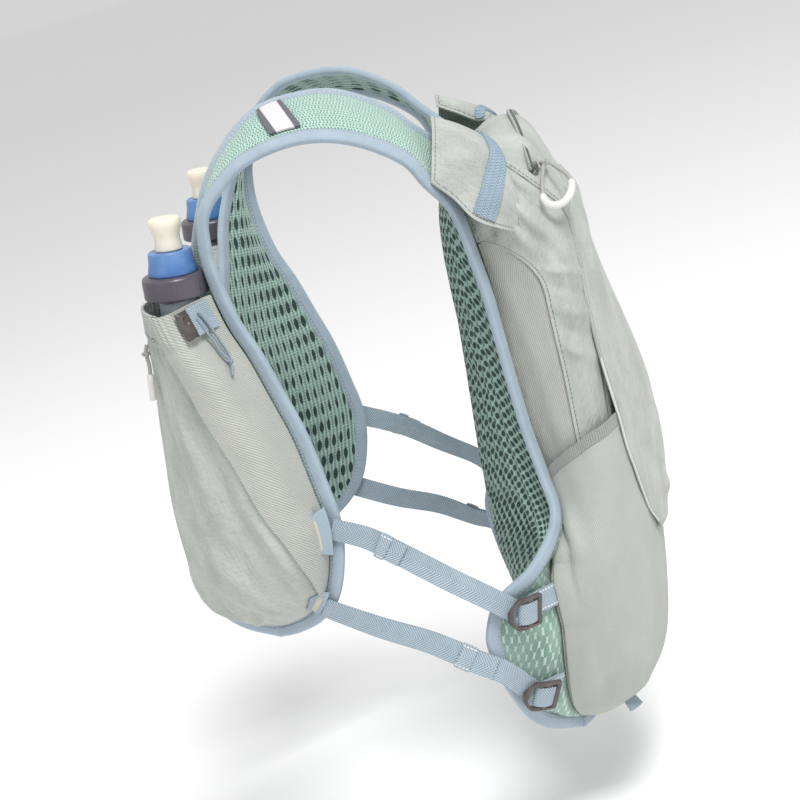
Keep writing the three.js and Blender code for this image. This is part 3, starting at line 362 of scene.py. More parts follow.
def rings_along(path, radius, sides=12):
    """Rings round a path, turned as little as they can be from one to the next."""
    path = np.asarray(path, float)
    heading = unit(np.gradient(path, axis=0))
    side = unit(np.cross(heading[0], (0.3, 0.5, 0.81)))
    angle = np.arange(sides) / sides * 2 * np.pi
    rings = []
    for p, h, r in zip(path, heading, np.broadcast_to(radius, len(path))):
        side = unit(side - h * (side @ h))
        up = np.cross(h, side)
        rings.append(p + r * (np.cos(angle)[:, None] * side + np.sin(angle)[:, None] * up))
    return np.array(rings)


sides_of_vest = (("_left", 1), ("_right", -1))


def flipped(points, way):
    """The wearer's left as it is, or its mirror image for the right."""
    return np.asarray(points, float) * (way, 1, 1)


def braid(pale, dark, pitch):
    """Round braided cord: strands that cross in a fine diamond, with painted shade in the grooves."""

    def build(place, across, along, outer):
        left = (across + along).wrap(pitch).math("ABSOLUTE") / (pitch / 2)
        right = (across - along).wrap(pitch).math("ABSOLUTE") / (pitch / 2)
        groove = left.math("MAXIMUM", right).ramp(0.55, 1)
        fuzz = place.noise(1.4)
        # painted shade: the grooves between the strands are coloured darker
        colour = (groove * 0.8 + fuzz * 0.25).tint(pale, dark)
        return {"Base Color": colour, "Roughness": 0.75 + 0.15 * fuzz, "height": groove * -0.25}

    return build


pale_cord = finish("pale_cord", braid(linear(196, 196, 192), linear(140, 140, 137), 1.3))
blue_cord = finish("blue_cord", braid(linear(176, 192, 204), linear(118, 136, 150), 1.1))


def soft_plastic(colour, worn, roughness):
    """Moulded plastic, with a fine satin grain and a little paler where it is handled."""

    def build(place, across, along, outer):
        grain = place.noise(2.2, 5)
        patches = place.noise(0.12, 2)
        return {
            "Base Color": patches.ramp(0.4, 0.75).tint(colour, worn),
            "Roughness": roughness + 0.18 * grain,
            "height": grain * 0.05,
        }

    return build


pull_plastic = finish("pull_plastic", soft_plastic(linear(206, 204, 201), linear(220, 219, 216), 0.42))


def knot(name, centre, size, material):
    """An overhand knot drawn tight: one turn of cord through itself."""
    t = np.linspace(0, 2 * np.pi, 73)
    x, y = np.sin(t) + 2 * np.sin(2 * t), np.cos(t) - 2 * np.cos(2 * t)
    turns = np.stack([x, y, -1.2 * np.sin(3 * t)], 1)
    path = np.asarray(centre) + turns * size * 0.3
    points, faces, cloth = tube_mesh(rings_along(path, size * 0.42, 10), False)
    return shown(name, points, faces, cloth, material, sharp=80)


def cord(name, route, diameter, material, nodes, slot, **facts):
    """A free cord along its chosen points."""
    path = spline(np.asarray(route, float), np.linspace(0, 1, 8 * len(route)))
    points, faces, cloth = tube_mesh(rings_along(path, diameter / 2))
    piece = shown(name, points, faces, cloth, material, nodes, sharp=80)
    length = lengths(path, 0)[-1] * MM
    tuple(path[0] * MM)
    [tuple(p * MM) for p in path]


def grip(name, route, start, end):
    """A moulded end over part of a cord's route, with rounded tips."""
    t = np.linspace(0, 1, 40)
    path = spline(np.asarray(route, float), start + (end - start) * t)
    swell = np.maximum(0, 1 - np.abs(2 * t - 1) ** 12) ** 0.5
    radius = pull_diameter / 2 * (0.55 + 0.45 * swell)
    points, faces, cloth = tube_mesh(rings_along(path, radius, 16))
    return shown(name, points, faces, cloth, pull_plastic, sharp=70)


grip_of_pack = grip("pack_pull_grip", pack_pull_points, 0.36, 0.8)
knot_of_pack = knot("pack_pull_knot", pack_pull_knot, 2.9, pale_cord)
cord("pack_pull_cord", pack_pull_points, cord_diameter, pale_cord, ["pack_pull"], "pull", far_end="knot",
     stiffness="medium", lay="hanging", with_pieces=[grip_of_pack, knot_of_pack])
for side, way in sides_of_vest:
    route = flipped(pocket_pull_points, way)
    parts = [
        grip("pocket_pull_grip" + side, route, 0.57, 1.0),
        knot("pocket_pull_knot" + side, route[3], 2.3, pale_cord),
    ]
    cord("pocket_pull_cord" + side, route, cord_diameter, pale_cord, ["pocket_pull" + side], "pull",
         far_end="fitting", stiffness="medium", lay="hanging", with_pieces=parts)
    route = flipped(drawcord_long, way)
    tie = knot("drawcord_knot" + side, route[11], 1.9, blue_cord)
    cord("drawcord_long" + side, route, drawcord_diameter, blue_cord, ["drawcord" + side], "tape",
         far_end="bare", stiffness="limp", lay="hanging", with_pieces=[tie])
    cord("drawcord_short" + side, flipped(drawcord_short, way), drawcord_diameter, blue_cord, [], "tape",
         far_end="knot", stiffness="limp", lay="hanging", with_pieces=[])


# The body's form, which every panel below is laid on. Shares of four driving sizes give
# the rows of each edge: out to the side, aft of the shoulder seat, and down from it.
vest_height = 484
front_reach = 197
rear_reach = 148
half_width = 135


def place(out, aft, down):
    reach = rear_reach if aft > 0 else front_reach
    return np.array([out * half_width, aft * reach, -down * vest_height])


def edge(rows):
    return np.array([place(*row) for row in rows])


body_centre = place(0, -0.25, 0.2)
body_radii = np.array([0.93 * half_width, 0.5 * front_reach, 0.17 * vest_height])


def outward(p):
    """Away from the wearer: a rounded column under a domed pair of shoulders."""
    d = p - body_centre
    d[..., 2] = np.maximum(0, d[..., 2])
    return unit(d / body_radii**2)


def heading(curve, t):
    step = 1e-3
    return unit(spline(curve, t + step) - spline(curve, t - step))


def inward(curve, t):
    """The way from an edge curve into the panel that it bounds."""
    return unit(np.cross(heading(curve, t), outward(spline(curve, t))))


def mesh_grid(rows, columns):
    """Shares from 0 to 1 down and across a grid."""
    return np.meshgrid(np.linspace(0, 1, rows), np.linspace(0, 1, columns), indexing="ij")


def step_up(value, low, high):
    x = np.clip((value - low) / (high - low), 0, 1)
    return x * x * (3 - 2 * x)


def bump_at(value, middle, reach):
    """A soft hill of height 1 about a middle."""
    return np.exp(-(((value - middle) / reach) ** 2))


def facing(points):
    """The way that a grid of points faces, at each of them."""
    return unit(np.cross(np.gradient(points, axis=0), np.gradient(points, axis=1)))


def wall(points, thickness, normal=None, lift=0, outer=0, inner=0, seam=None):
    """Points, quads and places of a wall of cloth on a grid of points. lift moves it along
    its normal, and outer and inner move one face of it."""
    rows, columns = points.shape[:2]
    n = facing(points) if normal is None else normal
    rise = np.broadcast_to(np.asarray(lift, float), (rows, columns))[..., None]
    half = thickness / 2
    over = np.broadcast_to(np.asarray(outer, float), (rows, columns))[..., None]
    under = np.broadcast_to(np.asarray(inner, float), (rows, columns))[..., None]
    top = points + n * (rise + half + over)
    base = points + n * (rise - half + under)
    along, across = lengths(points, 0), lengths(points, 1)
    across = across - across[:, columns // 2 : columns // 2 + 1]
    count = rows * columns
    faces = grid_faces(rows, columns)
    faces += [tuple(k + count for k in f[::-1]) for f in faces]
    number = np.arange(count).reshape(rows, columns)
    rim = [*number[0, :-1], *number[:-1, -1], *number[-1, :0:-1], *number[:0:-1, 0]]
    for a, b in zip(rim, rim[1:] + rim[:1]):
        faces.append((int(a), int(b), int(b) + count, int(a) + count))
    where = np.stack([across, along], -1).reshape(-1, 2)
    cloth = np.concatenate([np.c_[where, np.ones(count)], np.c_[where, np.zeros(count)]])
    ends = np.minimum(along, along[-1] - along)
    sides = np.minimum(across - across[:, :1], across[:, -1:] - across)
    from_seam = np.full((rows, columns), 99.0) if seam is None else seam
    trim = np.stack([from_seam, np.minimum(ends, sides), sides], -1).reshape(-1, 3)
    every = np.concatenate([top.reshape(-1, 3), base.reshape(-1, 3)])
    return every, faces, cloth, np.concatenate([trim, trim])


def flat_size(points):
    """The size that a grid of cloth is cut to, with the area of its cut, in metres."""
    wide = lengths(points, 1)[:, -1].max() * MM
    long = lengths(points, 0)[-1].max() * MM
    d1 = points[1:, 1:] - points[:-1, :-1]
    d2 = points[1:, :-1] - points[:-1, 1:]
    area = np.linalg.norm(np.cross(d1, d2), axis=-1).sum() / 2 * MM * MM
    return (float(wide), float(long)), float(min(area, wide * long))


def cloth_piece(name, points, thickness, material, nodes, slot, held, rests_on, way=1, **more):
    """A sheet of cloth on a grid of points."""
    made, faces, cloth, trim = wall(points, thickness, **more)
    piece = shown(name, flipped(made, way), faces, cloth, material, nodes, trim=trim)
    flat, area = flat_size(points)


# Shoulder straps and chest panels: spacer mesh, four millimetres thick, from the yoke
# behind the shoulder over it and down the chest to a tip. Its outer face has fine wavy
# rows, and its inner face is a coarse net with real hollows in the foam under it. The
# eyelets and the hollows are coloured dark as painted shade.
mesh_thickness = 4
panel_crown = 3
binding_width = 9
edge_ease = 1
inset = binding_width + edge_ease
flask_dent = 8
dent_row = 0.455
dent_reach = 0.11
arm_edge = edge(
    [
        (0.72, 0.348, 0.177),
        (0.787, 0.287, 0.141),
        (0.833, 0.22, 0.1),
        (0.88, 0.043, 0.058),
        (0.9, -0.119, 0.039),
        (0.9, -0.288, 0.045),
        (0.873, -0.406, 0.071),
        (0.853, -0.475, 0.097),
        (0.833, -0.502, 0.13),
        (0.82, -0.511, 0.178),
        (0.813, -0.493, 0.243),
        (0.82, -0.452, 0.297),
        (0.833, -0.42, 0.353),
        (0.853, -0.384, 0.418),
        (0.88, -0.365, 0.487),
        (0.9, -0.356, 0.546),
        (0.907, -0.384, 0.604),
        (0.893, -0.443, 0.658),
        (0.847, -0.525, 0.69),
        (0.773, -0.621, 0.708),
        (0.7, -0.703, 0.716),
    ]
)
neck_edge = edge(
    [
        (0.347, 0.378, 0.108),
        (0.387, 0.28, 0.074),
        (0.413, 0.189, 0.039),
        (0.453, 0.018, 0.002),
        (0.48, -0.11, -0.011),
        (0.533, -0.26, -0.009),
        (0.573, -0.384, 0.019),
        (0.573, -0.489, 0.063),
        (0.533, -0.565, 0.115),
        (0.453, -0.63, 0.171),
        (0.387, -0.667, 0.232),
        (0.333, -0.712, 0.297),
        (0.3, -0.75, 0.362),
        (0.287, -0.79, 0.428),
        (0.287, -0.836, 0.494),
        (0.3, -0.886, 0.558),
        (0.347, -0.936, 0.613),
        (0.413, -0.954, 0.654),
        (0.493, -0.913, 0.684),
        (0.587, -0.831, 0.704),
        (0.7, -0.703, 0.716),
    ]
)
panel_end = 1 - 0.5 / (len(arm_edge) - 1)


def chest(t, u):
    """The mesh of the chest panel: t down it, u from the arm side to the neck side."""
    arm = spline(arm_edge, t) + inward(arm_edge, t) * inset
    neck = spline(neck_edge, t) - inward(neck_edge, t) * inset
    p = arm + (neck - arm) * u[..., None]
    crown = np.minimum(0.06 * np.linalg.norm(neck - arm, axis=-1), panel_crown)
    crown = crown - flask_dent * bump_at(t, dent_row, dent_reach)
    return p + outward(p) * (crown * 4 * u * (1 - u))[..., None]


def hole_distance(x, y, pitch, reach):
    """How far a place is from the middle of the nearest hole of a staggered net, in hole
    radii. It works on sockets and on arrays alike."""
    near = []
    for shift in (0, 0.5):
        if isinstance(x, Socket):
            dx = x.wrap(pitch[0], shift * pitch[0]) / reach[0]
            dy = y.wrap(pitch[1], shift * pitch[1]) / reach[1]
            near.append((dx * dx + dy * dy).math("SQRT"))
        else:
            dx = ((x + shift * pitch[0] + pitch[0] / 2) % pitch[0] - pitch[0] / 2) / reach[0]
            dy = ((y + shift * pitch[1] + pitch[1] / 2) % pitch[1] - pitch[1] / 2) / reach[1]
            near.append(np.sqrt(dx * dx + dy * dy))
    if isinstance(x, Socket):
        return near[0].math("MINIMUM", near[1])
    return np.minimum(*near)


coarse_pitch = (6.8, 29)
coarse_hole = (2.35, 5.3)
coarse_depth = 1.3
mint = linear(166, 192, 182)
mint_shade = linear(92, 122, 114)
painted_hollow_shade = linear(20, 44, 40)


def closing(x, y):
    """How far the net's holes are drawn to slits, which changes slowly over the panel."""
    if isinstance(x, Socket):
        return (y / 19 + x / 11).math("SINE") * 0.24 + 0.76
    return np.sin(y / 19 + x / 11) * 0.24 + 0.76


def spacer_mesh(place, across, along, outer):
    """Fine wavy rows outside, and a coarse net over hollows inside. The eyelets and the
    hollows are painted dark as shade.
    """
    sway = place.noise(0.11, 2)
    drift = place.noise(0.22, 3)
    wave = (across * 1.1).math("SINE") * 0.5 + drift * 2.2
    row = (along + wave).waves(2.1)
    knit = (across + drift * 1.5).waves(2.4)
    eyelet = (row * (0.45 + 0.55 * knit)).ramp(0.45, 0.9)
    fine = (row * 0.35 + sway * 0.35).tint(linear(176, 206, 194), linear(136, 168, 158))
    # painted shade: the eyelets are coloured dark for the shade inside them
    fine = eyelet.tint(fine, linear(66, 100, 92))
    width = closing(across, along)
    near = hole_distance(across, along, coarse_pitch, (coarse_hole[0] * width, coarse_hole[1]))
    hole = 1 - near.ramp(0.78, 1.08)
    fuzz = place.noise(1.1, 4)
    strand = (across + drift * 1.2).waves(coarse_pitch[0] / 2)
    weft = (along + drift * 3).waves(2.2)
    thread = strand * 0.6 + weft * 0.4
    # painted shade: the hollows under the net are coloured dark teal for the shade in them
    floor = fuzz.ramp(0.45, 0.8).tint(painted_hollow_shade, linear(46, 78, 70))
    net = (thread.ramp(0.25, 0.8) * 0.8 + fuzz * 0.3).tint(mint, mint_shade)
    coarse = hole.tint(net, floor)
    face = outer.ramp(0.3, 0.7)
    height = face * (row * -0.3 + eyelet * -0.35) + (1 - face) * (thread * 0.22 + fuzz * 0.2)
    return {"Base Color": face.tint(coarse, fine), "Roughness": 0.86 - 0.2 * sway, "height": height}


mesh_cloth = finish("spacer_mesh", spacer_mesh, Sheen_Weight=0.25, Sheen_Roughness=0.5)
panel_rows = 300
panel_columns = 66
for side, way in sides_of_vest:
    a, b = mesh_grid(panel_rows, panel_columns)
    points = chest(0.006 + (panel_end - 0.006) * a, b)
    along, across = lengths(points, 0), lengths(points, 1)
    across = across - across[:, panel_columns // 2 : panel_columns // 2 + 1]
    reach = (coarse_hole[0] * closing(across, along), coarse_hole[1])
    near = hole_distance(across, along, coarse_pitch, reach)
    rim = step_up(b, 0.02, 0.07) * step_up(1 - b, 0.02, 0.07)
    hollow = coarse_depth * (1 - step_up(near, 0.7, 1.1)) * rim
    made, faces, cloth, trim = wall(points, mesh_thickness, outward(points), inner=hollow)
    node = "harness_panel" + side
    made = flipped(made, way)
    panel = shown("harness_mesh" + side, made, faces, cloth, mesh_cloth, [node], 60, trim)


# Back panel: one piece of the same foam mesh from hip to yoke, with a wing on each side
# that reaches round to the side straps. The knee of each row is where it leaves the back.
back_rows = [
    # edge out, aft and down, knee out, aft and down, middle aft and down
    (0.72, 0.348, 0.177, 0.36, 0.384, 0.115, 0.39, 0.156),
    (0.693, 0.372, 0.21, 0.4, 0.354, 0.19, 0.305, 0.197),
    (0.653, 0.384, 0.258, 0.373, 0.329, 0.257, 0.262, 0.257),
    (0.62, 0.396, 0.316, 0.36, 0.317, 0.316, 0.244, 0.316),
    (0.6, 0.396, 0.375, 0.347, 0.311, 0.377, 0.232, 0.379),
    (0.587, 0.396, 0.446, 0.347, 0.305, 0.448, 0.207, 0.45),
    (0.593, 0.402, 0.52, 0.36, 0.293, 0.522, 0.177, 0.524),
    (0.613, 0.421, 0.586, 0.387, 0.299, 0.591, 0.152, 0.595),
    (0.693, 0.427, 0.641, 0.453, 0.317, 0.651, 0.134, 0.658),
    (0.853, 0.293, 0.682, 0.56, 0.345, 0.699, 0.122, 0.71),
    (0.947, 0.104, 0.71, 0.64, 0.345, 0.74, 0.122, 0.755),
    (0.973, 0.018, 0.753, 0.667, 0.335, 0.781, 0.134, 0.799),
    (0.967, 0.006, 0.788, 0.667, 0.317, 0.818, 0.152, 0.84),
    (0.92, 0.018, 0.836, 0.653, 0.293, 0.861, 0.177, 0.883),
    (0.853, 0.049, 0.885, 0.62, 0.274, 0.903, 0.213, 0.924),
    (0.767, 0.091, 0.928, 0.56, 0.268, 0.942, 0.256, 0.957),
    (0.653, 0.165, 0.963, 0.467, 0.299, 0.974, 0.317, 0.981),
    (0.48, 0.293, 0.996, 0.333, 0.354, 1, 0.378, 1),
]
back_edge = edge([row[0:3] for row in back_rows])
back_knee = edge([row[3:6] for row in back_rows])
back_middle = edge([(0, *row[6:8]) for row in back_rows])
mirror = np.array([-1, 1, 1])
wing_corner = 0.49
wing_ease = 1.5
hem_rise = 0.35 * binding_width  # so that its lower edge ends inside the tape


def back(t, u):
    """The back panel: t down it, u from the left armhole edge to the right one."""
    ease = inset + wing_ease * bump_at(t, wing_corner, 0.05)
    side = spline(back_edge, t) - inward(back_edge, t) * ease[..., None]
    knee = spline(back_knee, t)
    return spline([side, knee, spline(back_middle, t), knee * mirror, side * mirror], u)


def wing_mesh(place, across, along, outer):
    """A net of pale hexagons outside, and small lens-shaped holes inside, painted dark as shade."""
    sway = place.noise(0.035, 3)
    drift = place.noise(0.16, 2)
    cells = hole_distance(across + drift * 2, along + drift * 3, (6.3, 15), (2.35, 5.3))
    line = cells.ramp(0.86, 1.04) * 0.75
    cell = place.noise(0.9, 4)
    rows = (along + drift * 3).waves(1.7)
    shade = cell * 0.35 + sway.ramp(0.35, 0.7) * 0.6 + rows * 0.25
    base = shade.tint(linear(160, 190, 178), linear(98, 130, 120))
    fine = line.tint(base, linear(200, 216, 207))
    near = hole_distance(across + drift * 1.5, along, (4.7, 8.4), (2.35, 4.2))
    hole = 1 - near.ramp(0.4, 0.72)
    # painted shade: the holes are coloured dark for the shade inside them
    floor = cell.tint(painted_hollow_shade, linear(46, 74, 68))
    net = (cell * 0.5 + rows * 0.4).tint(linear(170, 198, 187), linear(104, 138, 128))
    coarse = hole.tint(net, floor)
    face = outer.ramp(0.3, 0.7)
    height = face * (line * 0.4 + cell * 0.12) + (1 - face) * (hole * 0.55 - cell * 0.1)
    return {"Base Color": face.tint(coarse, fine), "Roughness": 0.88 - 0.2 * cell, "height": height}


wing_cloth = finish("wing_mesh", wing_mesh, Sheen_Weight=0.25, Sheen_Roughness=0.5)
a, b = mesh_grid(190, 124)
points = back(a, b)
points[..., 2] += hem_rise * step_up(a, 0.9, 1)
own = facing(points)
own = unit(own + (outward(points) - own) * step_up(np.abs(2 * b - 1), 0.7, 1)[..., None])
gather_pitch = 11
gather_height = 1.5
gathers = np.sin(lengths(points, 1) * 2 * np.pi / gather_pitch) * gather_height * step_up(a, 0.02, 0.1)
gathers = gathers * (1 - step_up(a, 0.5, 0.7)) * (1 - step_up(np.abs(2 * b - 1), 0.75, 0.9))
made, faces, cloth, trim = wall(points, mesh_thickness, own, inner=gathers)
panel = shown("back_mesh", made, faces, cloth, wing_cloth, ["back_panel"], 60, trim)


# Bindings: a soft knitted tape folded over the mesh's edge and sewn through, with its
# stitches near the inner edge. One runs round each armhole from hem to chest tip, one
# down each neck side, and one along the hem.
binding_thickness = 6
binding_lap = 1.6  # how far the tape's fold reaches over the mesh
tape_stitch = 3.0  # from the tape's middle


def stitch_marks(distance, along, offset, pitch=3.2, half=0.32):
    """A row of stitches at an offset from an edge or a seam."""
    line = 1 - (distance - offset).math("ABSOLUTE").ramp(half * 0.7, half * 1.5)
    dash = 1 - along.wrap(pitch).math("ABSOLUTE").ramp(pitch * 0.3, pitch * 0.4)
    return line * dash


def tape_knit(place, across, along, outer):
    """Fine ribs across the tape, a sewn groove with painted shade in it, and its stitches."""
    rib = along.waves(1.1)
    weft = across.waves(0.9)
    fuzz = place.noise(1.6, 4)
    sway = place.noise(0.07, 2)
    stitch = stitch_marks(across, along, tape_stitch)
    groove = 1 - (across - tape_stitch).math("ABSOLUTE").ramp(0.2, 1.1)
    # painted shade: groove darkens the colour in the sewn groove
    shade = rib * 0.3 + weft * 0.15 + fuzz * 0.3 + sway * 0.5 + groove * 0.35
    colour = (shade * 0.8).tint(linear(176, 190, 201), linear(124, 142, 156))
    colour = stitch.tint(colour, linear(180, 192, 202))
    return {
        "Base Color": colour,
        "Roughness": 0.82 + 0.12 * fuzz,
        "height": stitch * 0.3 - groove * 0.5 + rib * 0.12 + sway * 0.6,
    }


tape_cloth = finish("binding_tape", tape_knit, Sheen_Weight=0.3, Sheen_Roughness=0.45)


def folded_tape(name, middle, across, off, nodes, sides=20):
    """A tape folded round an edge, through rings about its middle line."""
    half = (binding_width + binding_lap) / 2
    angle = np.arange(sides) / sides * 2 * np.pi
    c, s = np.cos(angle), np.sin(angle)
    wide = half * np.sign(c) * np.abs(c) ** 0.62
    high = binding_thickness / 2 * np.sign(s) * np.abs(s) ** 0.75
    rings = middle[:, None] + wide[:, None] * across[:, None] + high[:, None] * off[:, None]
    points, faces, cloth = tube_mesh(rings)
    cloth[: len(rings) * sides, 0] = np.tile(wide, len(rings))
    shown(name, points, faces, cloth, tape_cloth, nodes, 80)


def edge_tape(name, curve, start, end, side, rows, way, nodes):
    """A binding along part of an edge curve, on the side of it where the panel lies."""
    t = np.linspace(start, end, rows)
    p = spline(curve, t)
    across = inward(curve, t) * side
    middle = p + across * (binding_width + binding_lap) / 2
    off = outward(p)
    flip = np.array([way, 1, 1])
    folded_tape(name, middle * flip, across * flip, off * flip, nodes)


armhole_edge = np.concatenate([back_edge[:0:-1], arm_edge])
for side, way in sides_of_vest:
    edge_tape("armhole_tape" + side, armhole_edge, 0.004, 1, 1, 420, way, ["armhole_binding" + side])
    edge_tape("neck_tape" + side, neck_edge, 0, 1, -1, 240, way, ["neck_binding" + side])
half_hem = [(0.48, 0.293, 0.996), (0.333, 0.354, 1)]
hem_curve = edge([*half_hem, (0, 0.378, 1), *((-out, aft, down) for out, aft, down in half_hem[::-1])])
t = np.linspace(0, 1, 120)
upright = np.tile([0.0, 0.0, 1.0], (len(t), 1))
middle = spline(hem_curve, t) + upright * (binding_width + binding_lap) / 2
folded_tape("hem_tape", middle, upright, outward(middle), ["hem_binding"])


# Front pockets: a bag of thin ripstop round each flask, gathered into an elastic hem at
# its mouth, with a twill stretch panel let into its arm side.
cloth_thickness = 1.4
seam_gap = 0.3
panel_ease = 1
pocket_bulge = 54
pocket_overhang = 13
pocket_shift = 10
pocket_seat = mesh_thickness / 2 + seam_gap + cloth_thickness / 2
pocket_fold = 0.05
pocket_lap = cloth_thickness + 1.3 * panel_ease
pocket_rows = [
    # along the panel, then shares of bulge, overhang and shift, the swell and the seam
    (0.47, 0.84, 1, 1, 0.5, 0.34),
    (0.54, 0.91, 1, 0.9, 0.55, 0.33),
    (0.62, 0.98, 0.8, 0.7, 0.65, 0.28),
    (0.7, 0.97, 0.6, 0.4, 0.7, 0.22),
    (0.77, 0.85, 0.3, 0.2, 0.8, 0.15),
    (0.83, 0.62, 0, 0.1, 0.9, 0.07),
    (0.88, 0.38, 0, 0, 1, 0),
    (0.93, 0.2, 0, 0, 1, 0),
    (0.965, 0.13, 0, 0, 1, 0),
]


def chest_frame(t):
    """The middle of the chest panel at t, the ways across and off it, and its width."""
    arm, neck = chest(t, np.zeros_like(t)), chest(t, np.ones_like(t))
    width = np.linalg.norm(neck - arm, axis=-1)[..., None]
    across = (neck - arm) / width
    middle = (arm + neck) / 2
    off = outward(middle)
    off = unit(off - across * (off * across).sum(-1, keepdims=True))
    return middle, across, off, width


def pocket(a, f):
    """The pocket's face: a down from its mouth, f from the arm side to the neck side."""
    row = spline(pocket_rows, a)
    middle, across, off, width = chest_frame(row[..., 0])
    bulge, over, shift, swell = (row[..., k : k + 1] for k in range(1, 5))
    f = f[..., None]
    aside = -width / 2 * np.cos(np.pi * f) - pocket_overhang * over * np.sin(2 * np.pi * f)
    aside = aside - pocket_shift * shift * np.sin(np.pi * f)
    out = pocket_seat + (pocket_bulge * bulge - pocket_seat) * np.sin(np.pi * f).clip(0) ** swell
    return middle + across * aside + off * out


def folds(a, b, table, long, wide):
    """How far soft folds stand off a cloth. Each row has the places where one starts and
    ends, as shares down and across the cloth, then its reach and its height."""
    rise = np.zeros_like(a)
    for start_a, start_b, end_a, end_b, reach, height in table:
        run = np.array([(end_b - start_b) * wide, (end_a - start_a) * long])
        x, y = (b - start_b) * wide, (a - start_a) * long
        share = np.clip((x * run[0] + y * run[1]) / (run @ run), 0, 1)
        away = np.hypot(x - share * run[0], y - share * run[1])
        rise = rise + height * np.exp(-((away / reach) ** 2)) * np.sin(np.pi * (0.1 + 0.8 * share))
    return rise


weave_pitch = 0.7
ripstop_cell = 3.6


def ripstop_weave(place, across, along, outer):
    """Thin plain weave with a raised thread every few millimetres, and fine creases. Painted
    shade darkens the colour along the creases and in the sewn seam groove.
    """
    turn = 2 * math.pi / weave_pitch
    fine = (across * turn).math("SINE") * (along * turn).math("SINE")
    rip = across.wrap(ripstop_cell).math("ABSOLUTE")
    rip = rip.math("MINIMUM", along.wrap(ripstop_cell).math("ABSOLUTE"))
    thread = 1 - rip.ramp(0.1, 0.42)
    crease = place.noise(0.05, 5, (1, 0.5, 1))
    small = place.noise(0.3, 4)
    trim = place.stored("trim")
    seam = trim.part(0)
    border = trim.part(1)
    stitch = stitch_marks(seam, along, 2.2).math("MAXIMUM", stitch_marks(border, across + along, 2.4))
    groove = 1 - seam.math("ABSOLUTE").ramp(0.1, 1.0)
    # painted shade: crease and groove darken the colour along the creases and in the seam groove
    shade = crease.ramp(0.3, 0.7) * 0.28 + 0.1 + small * 0.2 + fine * 0.05 + thread * -0.12 + groove * 0.5
    colour = shade.tint(linear(188, 193, 186), linear(116, 123, 118))
    colour = stitch.tint(colour, linear(122, 128, 123))
    return {
        "Base Color": colour,
        "Roughness": 0.6 + 0.2 * small,
        "height": thread * 0.14 + crease * 6.0 + small * 0.8 - groove * 0.6 + stitch * 0.25,
    }


def twill(pale, dark, pitch, hem):
    """Stretch weave with fine diagonal lines, and a darker ribbed hem of a given width."""

    def build(place, across, along, outer):
        line = (across + along * 0.8).waves(pitch)
        cross = (across - along * 1.9).waves(pitch * 0.7)
        sway = place.noise(0.045, 4, (1, 0.6, 1))
        fuzz = place.noise(1.2, 4)
        # painted shade: sway darkens the colour along the same wrinkles that it raises in the relief
        shade = line.ramp(0.25, 0.75) * 0.55 + cross * 0.15 + fuzz * 0.3 + sway * 0.35 - 0.2
        colour = shade.tint(pale, dark)
        height = line * 0.22 + cross * 0.08 + fuzz * 0.15 + sway * 4
        if hem:
            band = 1 - along.ramp(hem - 0.4, hem)
            rib = across.waves(1.3)
            ribbon = (rib * 0.6 + fuzz * 0.4).tint(linear(172, 176, 169), linear(116, 121, 115))
            colour = band.tint(colour, ribbon)
            edge_line = 1 - (along - hem).math("ABSOLUTE").ramp(0.2, 0.9)
            height = height - edge_line * 0.6 + band * rib * 0.2
        return {"Base Color": colour, "Roughness": 0.78 + 0.16 * fuzz, "height": height}

    return build


ripstop = finish("ripstop", ripstop_weave, Sheen_Weight=0.15, Sheen_Roughness=0.4)
stretch_twill = finish(
    "stretch_twill", twill(linear(194, 196, 188), linear(140, 143, 137), 2.0, 0), Sheen_Weight=0.2
)
pocket_hem = 17
hem_ruffles = 26
ruffle_height = 0.55
gather_count = 19
gusset_foot = 0.76  # the share of the pocket where the gusset ends
pocket_long = 258
pocket_wide = 150
pocket_folds = [
    (0.09, 0.82, 0.56, 0.7, 6, 3.5),
    (0.1, 0.66, 0.52, 0.58, 6, -3.5),
    (0.09, 0.5, 0.5, 0.47, 7, 3.8),
    (0.1, 0.36, 0.34, 0.42, 5, -2.4),
    (0.34, 0.62, 0.72, 0.34, 7, 3.8),
    (0.28, 0.44, 0.62, 0.25, 6, -3.2),
    (0.36, 0.34, 0.62, 0.2, 5, 3),
    (0.54, 0.76, 0.84, 0.5, 8, 3.8),
    (0.6, 0.58, 0.84, 0.36, 6, -3.2),
    (0.08, 0.93, 0.42, 0.88, 5, 2.7),
    (0.7, 0.34, 0.9, 0.56, 7, 2.4),
    (0.09, 0.24, 0.22, 0.28, 4, 1.9),
]


def pocket_relief(a, f):
    """Gathers under the elastic hem, the hem's own ruffle, and the bag's folds."""
    hem = pocket_hem / pocket_long
    gather = np.sin(f * 2 * np.pi * gather_count + 2.0 * np.sin(f * 9)) * bump_at(a, hem * 1.25, 0.045)
    ruffle = np.sin(f * 2 * np.pi * hem_ruffles + 1.1) * ruffle_height * (1 - step_up(a, hem * 0.7, hem))
    groove = -bump_at(a, hem, 0.008)
    rise = gather + ruffle + groove + folds(a, f, pocket_folds, pocket_long, pocket_wide)
    return rise * step_up(np.minimum(f, 1 - f), 0.0, 0.06)


